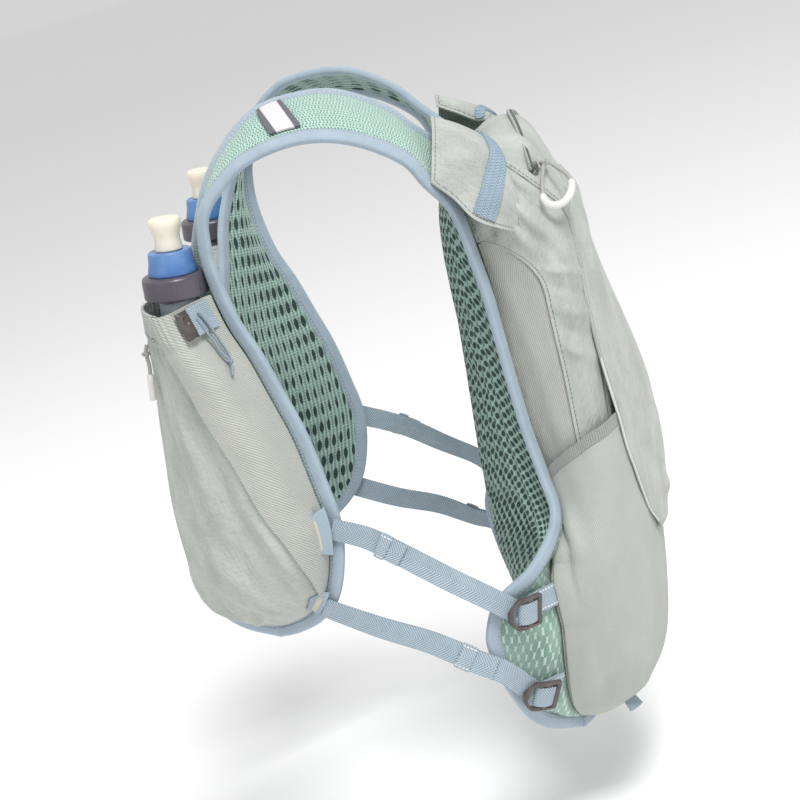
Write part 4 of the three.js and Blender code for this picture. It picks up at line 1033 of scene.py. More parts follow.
for side, way in sides_of_vest:
    a, b = mesh_grid(160, 104)
    seam = spline(pocket_rows, a)[..., 5].clip(0)
    f = seam + (1 - seam) * b
    points = pocket(a, f)
    off = -facing(points)
    points = points + off * (pocket_relief(a, f) * step_up(b, 0, 0.04))[..., None]
    from_hem = lengths(points, 0) - pocket_hem
    cloth_piece("pocket_bag" + side, points, cloth_thickness, ripstop, ["front_pocket" + side], "ripstop",
                "gathered", ["flask_body" + side], way, normal=off, seam=from_hem)
    a, b = mesh_grid(120, 40)
    row = a * gusset_foot
    seam = spline(pocket_rows, row)[..., 5].clip(0)
    f = (seam + pocket_fold * (1 - 0.6 * step_up(row, 0.5, gusset_foot))) * b
    points = pocket(row, f)
    off = -facing(points)
    hem = pocket_hem / pocket_long
    pull = np.sin(f * 2 * np.pi * hem_ruffles) * 0.5 * (1 - step_up(row, hem * 0.7, hem))
    pull = pull - 0.9 * bump_at(row, hem, 0.008)
    pull = pull * step_up(b, 0, 0.15)
    lap = pocket_lap * np.minimum(1, 1.6 * b) * (1 - 0.5 * step_up(row, 0.6, gusset_foot))
    cloth_piece("pocket_gusset" + side, points, cloth_thickness, stretch_twill, ["pocket_side" + side],
                "stretch", "stretched", ["flask_body" + side], way, normal=off, lift=lap + pull)


# Soft flasks: a thin clear bag with a ribbed screw cap, a tinted collar and a soft bite
# valve, all standing up out of the pocket.
flask_width = 49
flask_depth = 38
flask_length = 176
cap_radius = 21.3
cap_height = 15
collar_radius = 15
collar_height = 15
valve_radius = 10
valve_length = 21
flask_ease = 0.8
cap_ribs = 36
rib_depth = 0.22
head_seat = mesh_thickness / 2 + panel_crown + 3.6 * flask_ease + cap_radius
foot_seat = mesh_thickness / 2 + panel_crown + flask_ease + flask_depth / 2
head_lean = 0.14
head_shift = 5.4
foot_shift = 3
flask_top = 0.468
flask_foot = 0.8
flask_rows = [(0, 0.62), (0.06, 0.8), (0.25, 1), (0.75, 1), (0.9, 0.9), (0.97, 0.7), (1, 0.45)]
flask_neck = flask_rows[0][1] * flask_width / 2
head_axis = unit(np.array([0, head_lean, 1]))


def flask_middle(share, press):
    t = flask_top + (flask_foot - flask_top) * share
    middle, across, off, _ = chest_frame(t)
    seat = head_seat + (foot_seat - head_seat) * np.minimum(1, 3 * share)
    seat = seat - press * flask_dent * bump_at(t, dent_row, dent_reach)
    shift = head_shift + (foot_shift - head_shift) * share
    return middle + off * seat[..., None] - across * shift[..., None]


def film_look(place, across, along, outer):
    """Thin clear film, milky where it creases."""
    milk = place.noise(0.08, 4)
    return {
        "Base Color": milk.tint(linear(190, 208, 226), linear(224, 231, 238)),
        "Roughness": 0.12 + 0.25 * milk,
        "height": milk * 1.4,
    }


def cap_look(place, across, along, outer):
    """Moulded charcoal plastic, glossy, with a fine grain."""
    grain = place.noise(1.8, 5)
    return {
        "Base Color": grain.tint(linear(66, 61, 70), linear(92, 87, 96)),
        "Roughness": 0.2 + 0.16 * grain,
        "height": grain * 0.05,
    }


def collar_look(place, across, along, outer):
    """Tinted plastic, paler towards its top."""
    glow = place.noise(0.09, 3)
    shade = glow * 0.7 + along.ramp(0, 16) * 0.4
    return {
        "Base Color": shade.tint(linear(46, 104, 178), linear(120, 158, 206)),
        "Roughness": 0.16 + 0.2 * glow,
        "height": glow * 0.08,
    }


def valve_look(place, across, along, outer):
    """Soft cream silicone, a little darker at its base."""
    blush = place.noise(0.13, 3)
    shade = blush * 0.5 + along.ramp(0, 22) * 0.3
    return {
        "Base Color": shade.tint(linear(206, 200, 184), linear(234, 228, 212)),
        "Roughness": 0.42 + 0.16 * blush,
        "height": blush * 0.06,
    }


film = finish("flask_film", film_look, Transmission_Weight=0.35, IOR=1.35)
cap_plastic = finish("cap_plastic", cap_look)
collar_plastic = finish("collar_plastic", collar_look, Transmission_Weight=0.25)
valve_rubber = finish("valve_rubber", valve_look, Subsurface_Weight=0.1)
cap_profile = [
    # radius and height as shares of the cap's, and how deep its grip ribs are
    (0.86, 0, 0),
    (0.97, 0, 0),
    (1.0, 0.05, 0),
    (1.0, 0.12, 1),
    (1.0, 0.45, 1),
    (1.0, 0.78, 1),
    (0.99, 0.86, 0.3),
    (0.965, 0.93, 0),
    (0.9, 0.985, 0),
    (0.8, 1.0, 0),
    (0.4, 1.0, 0),
]
collar_profile = [
    # radius and height as shares of the collar's
    (0.9, 0),
    (1.08, 0),
    (1.1, 0.06),
    (1.06, 0.25),
    (1.0, 0.5),
    (0.97, 0.8),
    (0.95, 0.95),
    (0.9, 1),
]
valve_profile = [
    # radius and height as shares of the valve's
    (0.7, 0),
    (0.88, 0),
    (0.92, 0.03),
    (0.9, 0.12),
    (0.84, 0.3),
    (0.86, 0.45),
    (0.97, 0.62),
    (1.06, 0.78),
    (1.07, 0.88),
    (1.02, 0.96),
    (0.9, 1),
    (0.4, 0.985),
    (0.12, 0.96),
]


def turned(name, profile, radius, height, base, way, material, node, ribs=0, sides=72):
    """A round piece turned about the flask's upright axis."""
    angle = np.arange(sides) / sides * 2 * np.pi
    side = np.array([1.0, 0, 0])
    up = np.cross(head_axis, side)
    around = np.cos(angle)[:, None] * side + np.sin(angle)[:, None] * up
    rings = []
    for row in profile:
        rib = row[2] * rib_depth * (np.cos(angle * ribs) > 0.2) if ribs else 0
        reach = (radius * row[0] - rib)[..., None] if ribs else radius * row[0]
        rings.append(base + around * reach + head_axis * height * row[1])
    points, faces, cloth = tube_mesh(np.array(rings))
    shown(name, flipped(points, way), faces, cloth, material, [node], 35)


flask_press = {"_left": 1, "_right": 0}
flask_rings = 48
for side, way in sides_of_vest:
    press = flask_press[side]
    share = np.linspace(0, 1, flask_rings)
    rows = np.array(flask_rows)
    size = np.interp(share, rows[:, 0], rows[:, 1])
    size = np.convolve(np.pad(size, 2, "edge"), np.ones(5) / 5, "valid")
    middle = flask_middle(share, press)
    head = flask_middle(np.zeros(1), press)[0]
    middle[:, 2] = head[2] - share * flask_length
    _, across, off, _ = chest_frame(flask_top + (flask_foot - flask_top) * share)
    level = np.array([1, 1, 0])
    across, off = unit(across * level), unit(off * level)
    angle = np.arange(flask_rings) / flask_rings * 2 * np.pi
    c, s = np.cos(angle), np.sin(angle)
    wide = np.sign(c) * np.abs(c) ** 0.85 * flask_width / 2
    deep = np.sign(s) * np.abs(s) ** 0.85 * flask_depth / 2
    rings = middle[:, None] + size[:, None, None] * (
        wide[:, None] * across[:, None] + deep[:, None] * off[:, None]
    )
    points, faces, cloth = tube_mesh(rings)
    node = "flask_body" + side
    shown("flask_bag" + side, flipped(points, way), faces, cloth, film, [node], 80)
    base = head + head_axis * (seam_gap + head_lean * flask_neck)
    turned("screw_cap" + side, cap_profile, cap_radius, cap_height, base, way, cap_plastic,
           "flask_cap" + side, ribs=cap_ribs, sides=4 * cap_ribs)
    base = base + head_axis * (cap_height + seam_gap)
    turned("cap_collar" + side, collar_profile, collar_radius, collar_height, base, way, collar_plastic,
           "flask_collar" + side)
    base = base + head_axis * (collar_height + seam_gap)
    turned("valve" + side, valve_profile, valve_radius, valve_length, base, way, valve_rubber,
           "bite_valve" + side)


# Pack: a ripstop shell on the back panel, with a hood over the zip, gusset seams down its
# sides and twill stretch panels let in below the hood.
pack_rows = [
    # along the back panel, and the rim's share across it, then
    # side out, aft and down, seam out, aft and down, and rear aft and down
    (0.03, 0.16, 0.5, 0.46, 0.15, 0.33, 0.45, 0.14, 0.44, 0.155),
    (0.06, 0.08, 0.62, 0.53, 0.165, 0.48, 0.58, 0.135, 0.59, 0.112),
    (0.09, 0.03, 0.65, 0.59, 0.198, 0.533, 0.707, 0.172, 0.756, 0.121),
    (0.115, 0.02, 0.653, 0.625, 0.238, 0.54, 0.817, 0.225, 0.841, 0.19),
    (0.145, 0.02, 0.647, 0.652, 0.279, 0.547, 0.835, 0.268, 0.915, 0.238),
    (0.18, 0.02, 0.633, 0.665, 0.323, 0.553, 0.829, 0.316, 0.905, 0.3),
    (0.235, 0.02, 0.62, 0.659, 0.381, 0.56, 0.817, 0.378, 0.93, 0.37),
    (0.3, 0.02, 0.613, 0.652, 0.45, 0.547, 0.799, 0.45, 0.96, 0.45),
    (0.36, 0.02, 0.613, 0.634, 0.535, 0.527, 0.787, 0.535, 0.97, 0.539),
    (0.44, 0.04, 0.627, 0.622, 0.62, 0.52, 0.774, 0.623, 0.951, 0.63),
    (0.49, 0.1, 0.65, 0.61, 0.668, 0.52, 0.765, 0.674, 0.93, 0.68),
    (0.54, 0.17, 0.68, 0.585, 0.717, 0.52, 0.75, 0.725, 0.9, 0.73),
    (0.68, 0.22, 0.673, 0.54, 0.814, 0.513, 0.72, 0.825, 0.85, 0.83),
    (0.79, 0.22, 0.633, 0.48, 0.9, 0.48, 0.665, 0.912, 0.78, 0.92),
    (0.87, 0.22, 0.56, 0.42, 0.95, 0.413, 0.57, 0.962, 0.67, 0.97),
    (0.94, 0.22, 0.44, 0.4, 0.984, 0.307, 0.46, 0.991, 0.53, 0.995),
]
pack_stations = len(pack_rows) - 1
pack_seat = mesh_thickness / 2 + panel_ease + cloth_thickness / 2
pack_side = edge([row[2:5] for row in pack_rows])
pack_seam = edge([row[5:8] for row in pack_rows])
pack_rear = edge([(0, *row[8:10]) for row in pack_rows])


def pack(t, u):
    """The pack's shell: t down it, u from its left rim over the rear to its right rim."""
    step = 0.01
    stations = np.arange(len(pack_rows))
    along = np.interp(t * pack_stations, stations, [row[0] for row in pack_rows])
    share = np.interp(t * pack_stations, stations, [row[1] for row in pack_rows])
    p = back(along, share)
    rim = p + pack_seat * unit(np.cross(back(along + step, share) - p, back(along, share + step) - p))
    side, seam, rear = (spline(curve, t) for curve in (pack_side, pack_seam, pack_rear))
    return spline([rim, side, seam, rear, seam * mirror, side * mirror, rim * mirror], u)


def stretch_edge(t):
    """Where the ripstop meets the stretch panel: an arc under the hood, then the side seam."""
    return 0.1625 * np.sin(np.pi / 2 * np.clip((t - 0.18) / 0.16, 0, 1)) ** 0.8


pack_long = 470
pack_wide = 285
hood_folds = [
    (0.1, 0.13, 0.25, 0.17, 6, 4.6),
    (0.11, 0.19, 0.31, 0.25, 7, 4.9),
    (0.07, 0.25, 0.22, 0.3, 6, -4.1),
    (0.12, 0.09, 0.19, 0.07, 5, -3.5),
    (0.2, 0.2, 0.36, 0.29, 6, -3.8),
    (0.3, 0.19, 0.34, 0.34, 4, 2.6),
    (0.37, 0.18, 0.4, 0.34, 4, 2.3),
    (0.43, 0.18, 0.46, 0.34, 4, 2.3),
    (0.33, 0.18, 0.37, 0.33, 4, -2.2),
    (0.4, 0.18, 0.43, 0.33, 4, -2),
    (0.08, 0.42, 0.2, 0.38, 7, 3.8),
    (0.24, 0.42, 0.5, 0.44, 9, 2.9),
]


def gusset_line(t):
    """The gusset seam's share of the way across, from hood to foot."""
    down = [0, 0.15, 0.21, 0.29, 0.35, 0.45, 0.55, 1]
    across = [0.3, 0.32, 0.338, 0.352, 0.36, 0.358, 0.333, 0.333]
    return np.interp(t, down, across)


a, b = mesh_grid(170, 190)
rim = stretch_edge(a)
u = rim + (1 - 2 * rim) * b
points = pack(a, u)
off = facing(points)
half_way = np.minimum(u, 1 - u)
from_gusset = (half_way - gusset_line(a)) * pack_wide
relief = folds(a, half_way, hood_folds, pack_long, pack_wide)
relief = relief + 0.7 * bump_at(from_gusset, 2.4, 2.0) - 1.3 * bump_at(from_gusset, 0, 1.1)
hood = np.where(half_way > rim + 0.001, 1, 0) * step_up(a, 0.02, 0.06)
border = step_up(half_way - rim, 0, 0.02)
pack_points = points + off * (relief * hood * border)[..., None]
cloth_piece("pack_shell", pack_points, cloth_thickness, ripstop, ["pack_body"], "ripstop", "gathered",
            ["back_mesh"], normal=off, seam=from_gusset)
side_top = 0.188
side_lap = 0.012
side_long = 380
side_wide = 50
side_folds = [
    (0.1, 0.2, 0.5, 0.6, 10, 1.7),
    (0.3, 0.2, 0.7, 0.5, 12, -1.4),
    (0.5, 0.1, 0.9, 0.7, 12, 1.4),
]
for side, way in sides_of_vest:
    a, b = mesh_grid(116, 32)
    t = side_top + (1 - side_top) * a
    u = b * (stretch_edge(t) + side_lap)
    points = pack(t, u)
    off = facing(points)
    sag = folds(a, b, side_folds, side_long, side_wide)
    tuck = (cloth_thickness + panel_ease) * np.maximum(step_up(b, 0.75, 0.95), 0.35)
    cloth_piece("stretch_side" + side, points, cloth_thickness, stretch_twill, ["side_stretch" + side],
                "stretch", "stretched", ["pack_shell"], way, normal=off,
                lift=sag * np.sin(np.pi * b) - tuck)


# Stretch pockets: fine knit wrapped round the pack's lower half from the rim to the rear,
# open at the top along a darker elastic hem that rises towards the rear.
mouth_line = [(0.577,), (0.554,), (0.537,), (0.529,), (0.525,), (0.523,)]  # rim to rear
side_pocket_foot = 0.985
side_pocket_rim = 0.006
side_pocket_rear = 0.497
side_pocket_ease = 4
side_pocket_long = 200
side_pocket_wide = 150
mouth_hem = 9
hem_groove = 0.8
knit_twill = finish(
    "pocket_knit", twill(linear(192, 197, 190), linear(148, 154, 148), 1.5, mouth_hem), Sheen_Weight=0.2
)
side_pocket_folds = [
    (0, -0.03, 0.18, 0.06, 3, -3.5),
    (0.14, 0.045, 0.34, 0.115, 3, -3.8),
    (0.3, 0.105, 0.5, 0.125, 3, -2.9),
    (0.1, 0.12, 0.42, 0.2, 7, 2.3),
    (0.2, 0.35, 0.55, 0.3, 9, 2.3),
    (0.35, 0.55, 0.75, 0.45, 10, -2),
    (0.3, 0.75, 0.7, 0.65, 10, 2.3),
    (0.6, 0.2, 0.85, 0.35, 8, -2),
    (0.68, 0.5, 0.9, 0.75, 9, 2),
]
for side, way in sides_of_vest:
    a, b = mesh_grid(124, 96)
    mouth = spline(mouth_line, b)[..., 0]
    t = mouth + (side_pocket_foot - mouth) * a
    points = pack(t, side_pocket_rim + (side_pocket_rear - side_pocket_rim) * b)
    off = facing(points)
    lift = cloth_thickness + panel_ease + side_pocket_ease * np.sin(np.pi * b) ** 0.5 * (1 - a**3)
    relief = folds(a, b, side_pocket_folds, side_pocket_long, side_pocket_wide)
    relief = relief * step_up(b, 0, 0.03) * (1 - step_up(a, 0.93, 1))
    relief = relief - hem_groove * bump_at(a * side_pocket_long, mouth_hem, 1.0)
    cloth_piece("stretch_pocket" + side, points, cloth_thickness, knit_twill, ["side_pocket" + side],
                "knit", "stretched", ["pack_shell"], way, normal=off, lift=lift + relief)


# Rear panel: an overlay of the same ripstop, sewn flat in its upper part and loose below.
# Plain pale piping runs down its two edges where it hangs free.
flap_lift = 1.5
flap_sewn = 1.2  # how far it stands off the shell where it is sewn down
flap_long = 350
flap_wide = 95
flap_free = (0.26, 0.42)  # where it leaves the shell, down its length
flap_rows = [(3.2, 0.165), (5, 0.165), (8, 0.165), (9, 0.145), (10.3, 0.12), (11.1, 0.08)]
flap_folds = [
    (0.03, 0.2, 0.4, 0.35, 9, 3.2),
    (0.05, 0.8, 0.4, 0.65, 9, 3.2),
    (0.1, 0.45, 0.45, 0.5, 8, -2.6),
    (0.3, 0.75, 0.7, 0.6, 12, 2.9),
    (0.45, 0.1, 0.75, 0.35, 9, -2.6),
    (0.7, 0.3, 0.95, 0.6, 9, 2.6),
]
a, b = mesh_grid(150, 80)
row = spline(np.array(flap_rows), a)
u = 0.5 + row[..., 1] * (2 * b - 1)
points = pack(row[..., 0] / pack_stations, u)
off = facing(points)
flap_rise = flap_sewn + (flap_lift + side_pocket_ease + cloth_thickness) * step_up(a, *flap_free)
relief = folds(a, b, flap_folds, flap_long, flap_wide) * step_up(1 - np.abs(2 * b - 1), 0, 0.1)
flap_points = points + off * (flap_rise + relief)[..., None]
cloth_piece("rear_overlay", flap_points, cloth_thickness, ripstop, ["rear_panel"], "ripstop", "hung",
            ["pack_shell"], normal=off)


def piping_look(place, across, along, outer):
    """Pale coated tape with a faint grain."""
    grain = place.noise(1.5, 4)
    return {
        "Base Color": grain.tint(linear(214, 218, 216), linear(190, 195, 194)),
        "Roughness": 0.35 + 0.2 * grain,
        "height": grain * 0.15,
    }


piping = finish("pale_piping", piping_look)
piping_radius = 0.8
piping_seat = 0.6
piping_rows = slice(48, -6, 3)  # where the overlay hangs free
for name, column in (("overlay_piping_left", 0), ("overlay_piping_right", -1)):
    path = flap_points[piping_rows, column] + off[piping_rows, column] * piping_seat
    points, faces, cloth = tube_mesh(rings_along(path, piping_radius, 10))
    shown(name, points, faces, cloth, piping, [], 80)


# Strap sleeves: short ripstop hoods over the straps' upper ends, open to the front, with a
# band of blue-grey webbing sewn over them.
sleeve_rows = [
    # arm side out, aft and down, then the same of the crest, the neck side and the foot
    (0.785, 0.318, 0.138, 0.615, 0.365, 0.089, 0.415, 0.372, 0.068, 0.37, 0.368, 0.083),
    (0.778, 0.392, 0.167, 0.667, 0.473, 0.101, 0.422, 0.46, 0.087, 0.37, 0.453, 0.101),
    (0.756, 0.466, 0.205, 0.652, 0.601, 0.138, 0.459, 0.561, 0.11, 0.407, 0.541, 0.121),
    (0.69, 0.64, 0.242, 0.665, 0.668, 0.184, 0.495, 0.63, 0.122, 0.415, 0.612, 0.119),
]
webbing_width = 15.5
webbing_thickness = 1.6
band_row = 0.69
band_half = 0.1
sleeve_reach = 70
sleeve_sink = 3.2
sleeve_grid = (90, 70)
sleeve_curves = [edge([row[k : k + 3] for row in sleeve_rows]) for k in (0, 3, 6, 9)]


def herringbone(pale, dark, stripe=15.6, border=0):
    """Woven tape with chevron ribs, and white stitches near its two edges where border is
    set."""

    def build(place, across, along, outer):
        zig = across.wrap(stripe).math("ABSOLUTE")
        rib = (along + zig * 0.9).waves(1.9)
        fuzz = place.noise(1.5, 4)
        sway = place.noise(0.09, 2)
        column = 1 - (stripe / 2 - zig).ramp(0.05, 0.4)
        shade = rib.ramp(0.2, 0.8) * 0.6 + fuzz * 0.3 + sway * 0.3 + column * 0.15 - 0.2
        colour = shade.tint(pale, dark)
        height = rib * 0.3 + fuzz * 0.12 - column * 0.1
        if border:
            trim = place.stored("trim")
            stitch = stitch_marks(trim.part(2), along, border, 2.6, 0.4)
            colour = stitch.tint(colour, linear(226, 230, 232))
            height = height + stitch * 0.3
        return {"Base Color": colour, "Roughness": 0.8 + 0.14 * fuzz, "height": height}

    return build


webbing_look = herringbone(linear(178, 193, 203), linear(98, 116, 131))
webbing = finish("side_webbing", webbing_look, Sheen_Weight=0.2)
stitched_look = herringbone(linear(180, 194, 203), linear(104, 122, 136), border=1.7)
stitched_webbing = finish("stitched_webbing", stitched_look)
blue_webbing = finish("blue_webbing", herringbone(linear(160, 178, 192), linear(104, 124, 142), 3.9))
sleeve_folds = [
    (0.1, 0.1, 0.7, 0.4, 5, 1.8),
    (0.05, 0.5, 0.6, 0.3, 5, -1.5),
    (0.2, 0.7, 0.85, 0.5, 6, 1.6),
    (0.5, 0.05, 0.95, 0.2, 5, 1.4),
]
for side, way in sides_of_vest:
    a, b = mesh_grid(*sleeve_grid)
    points = spline([spline(curve, a) for curve in sleeve_curves], b)
    off = facing(points)
    if (off * outward(points)).sum() < 0:
        off = -off
    rise = folds(a, b, sleeve_folds, sleeve_reach, sleeve_reach) * step_up(np.minimum(b, 1 - b), 0, 0.1)
    sunk = -sleeve_sink * step_up(a, 0.8, 1)  # its rear edge is sewn into the pack's seam
    hooded = points + off * (rise + sunk)[..., None]
    cloth_piece("sleeve_hood" + side, hooded, cloth_thickness, ripstop, ["strap_sleeve" + side],
                "ripstop", "gathered", ["back_mesh"], way, normal=off)
    rows = np.abs(a[:, 0] - band_row) <= band_half
    band = hooded[rows][:, 2:-2].swapaxes(0, 1)
    off = off[rows][:, 2:-2].swapaxes(0, 1)
    cloth_piece("sleeve_tape" + side, band, webbing_thickness, blue_webbing, [], "ripstop", "folded",
                ["sleeve_hood" + side], way, normal=off, lift=(cloth_thickness + webbing_thickness) / 2)


# Side straps: woven tape from a patch on each chest panel, through a folded keeper, to a
# ladder lock that a short tab anchors on the wing.
strap_hump = 3.6
buckle_length = 27
buckle_width = 23
buckle_thickness = 3.2
lock_camber = 0.9
lock_rounding = 0.7
loop_thickness = 1.2
loop_place = 0.6  # of the lock's length, where its webbing loops over the bar
loop_reach = 0.27 * buckle_length
loop_sink = 0.6
keeper_length = 10
keeper_thickness = 2.6
patch_length = 30
label_thickness = 1.2
tail_lift = 1.15 * webbing_thickness
strap_end = 0.12  # of the lock's length, short of its middle
strap_seat = binding_thickness / 2 + 2.5 * panel_ease + webbing_thickness / 2
tab_seat = mesh_thickness / 2 + 2.4 * panel_ease + webbing_thickness / 2
lock_seat = strap_seat + strap_hump + webbing_thickness / 2 + buckle_thickness / 2
upper_route = edge([(0.945, -0.283, 0.578), (0.98, -0.2, 0.604), (1, -0.078, 0.649), (1, 0.04, 0.69)])
lower_route = edge(
    [(0.94, -0.333, 0.71), (0.98, -0.178, 0.745), (0.995, -0.05, 0.785), (0.985, 0.04, 0.812)]
)
side_straps = [
    # where each one starts on the armhole edge, where its lock stands on the wing, how far the
    # lock rises and its tab reaches, then its route, keeper, doubled end and patch
    {"name": "upper", "start": 0.757, "along": 0.6, "across": 0.04, "rise": 0.5, "tab": 0.2,
     "route": upper_route, "keeper": 0.31, "doubled": 0.43, "patch": 0.477},
    {"name": "lower", "start": 0.868, "along": 0.8, "across": 0.06, "rise": 1.8, "tab": 0.18,
     "route": lower_route, "keeper": 0.55, "doubled": 0.72, "patch": 0.7},
]
lock_plastic = finish(
    "lock_plastic", soft_plastic(linear(70, 63, 61), linear(94, 86, 84), 0.3), Coat_Weight=0.15
)


def patch_look(place, across, along, outer):
    """Blue-grey tape framing a strip of beige cloth."""
    fuzz = place.noise(1.4, 4)
    rib = along.waves(1.1)
    strip = (1 - (across + 1.5).math("ABSOLUTE").ramp(2.2, 2.5)) * along.ramp(3.4, 3.8)
    strip = strip * (1 - along.ramp(patch_length - 5.2, patch_length - 4.8))
    tape = (rib * 0.5 + fuzz * 0.5).tint(linear(172, 187, 198), linear(122, 139, 152))
    beige = fuzz.tint(linear(206, 201, 188), linear(178, 173, 161))
    return {
        "Base Color": strip.tint(tape, beige),
        "Roughness": 0.78 + 0.14 * fuzz,
        "height": rib * 0.12 - strip * 0.3 + fuzz * 0.15,
    }


patch_cloth = finish("patch_tape", patch_look)


def back_frame(t, u):
    """A place on the back panel, with the ways across it, off it and up it."""
    step = 5e-3
    t, u = np.asarray(t, float), np.asarray(u, float)
    p = back(t, u)
    across = unit(back(t, u + step) - back(t, u - step))
    down = unit(back(t + step, u) - back(t - step, u))
    off = unit(np.cross(down, across))
    return p, across, off, unit(np.cross(across, off))


def strap_points(curve, wing_off, width, span, rows, columns):
    """A grid along a side strap's curve, and the way off the body at each of its points."""
    a, b = mesh_grid(rows, columns)
    t = span[0] + (span[1] - span[0]) * a
    p = spline(curve, t)
    turn = step_up(t, 0.75, 1)[..., None]
    body = outward(p)
    off = unit(body + (wing_off - body) * turn)
    side = unit(np.cross(heading(curve, t), off))
    return p + side * (width * (b - 0.5))[..., None], off, strap_hump * step_up(t, 0.5, 0.8)


lock_outline = [
    # along the lock, the half width of its outside, then of its window
    (0, 0.3, 0),
    (0.04, 0.42, 0),
    (0.12, 0.66, 0.28),
    (0.2, 0.86, 0.62),
    (0.3, 0.98, 0.72),
    (0.42, 1, 0.72),
    (0.53, 1, 0.72),
    (0.55, 1, 0),
    (0.68, 1, 0),
    (0.7, 1, 0.72),
    (0.86, 1, 0.72),
    (0.88, 1, 0),
    (0.97, 0.98, 0),
    (1, 0.9, 0),
]
lock_windows = ((0.12, 0.53), (0.7, 0.86))


def ladder_lock(name, p, across, off, up, seat, way, node):
    """A plate with a pointed nose and two windows, with its edges rounded over."""
    rows = []
    for along, half, window in lock_outline:
        half, window = half * buckle_width / 2, window * buckle_width / 2
        window = max(window, 0.25 * half)
        x = np.array([0, window / 2, window, (half + window) / 2, half])
        x = [*-x[:0:-1], *x]
        middle = p + across * (along - 0.5) * buckle_length
        camber = lock_camber * np.sin(np.pi * along)
        rows.append([middle + up * v + off * (seat + camber) for v in x])
    points = np.array(rows)
    made, _, cloth, _ = wall(points, buckle_thickness, np.broadcast_to(off, points.shape))
    wide = points.shape[1]
    count = len(points) * wide
    closed = []
    for i in range(len(points) - 1):
        low, high = lock_outline[i][0], lock_outline[i + 1][0]
        through = any(start <= low and high <= end for start, end in lock_windows)
        for j in range(wide - 1):
            if not (through and 2 <= j < wide - 3):
                closed.append((i, j))
    faces = []
    for i, j in closed:
        a, b = i * wide + j, (i + 1) * wide + j
        faces.append((a, b, b + 1, a + 1))
        faces.append((a + count, a + 1 + count, b + 1 + count, b + count))
        neighbours = [
            ((i - 1, j), (a, a + 1)),
            ((i + 1, j), (b + 1, b)),
            ((i, j - 1), (b, a)),
            ((i, j + 1), (a + 1, b + 1)),
        ]
        for beside, (c, d) in neighbours:
            if beside not in closed:
                faces.append((c, d, d + count, c + count))
    used = sorted({k for f in faces for k in f})
    number = {k: n for n, k in enumerate(used)}
    faces = [tuple(number[k] for k in f) for f in faces]
    made = flipped(made, way)
    piece = shown(name, made[used], faces, cloth[used], lock_plastic, [node], 40)
    bevel = piece.modifiers.new("rounding", "BEVEL")
    bevel.width = lock_rounding * MM
    bevel.segments = 3
    bevel.limit_method = "ANGLE"
    bevel.angle_limit = math.radians(40)


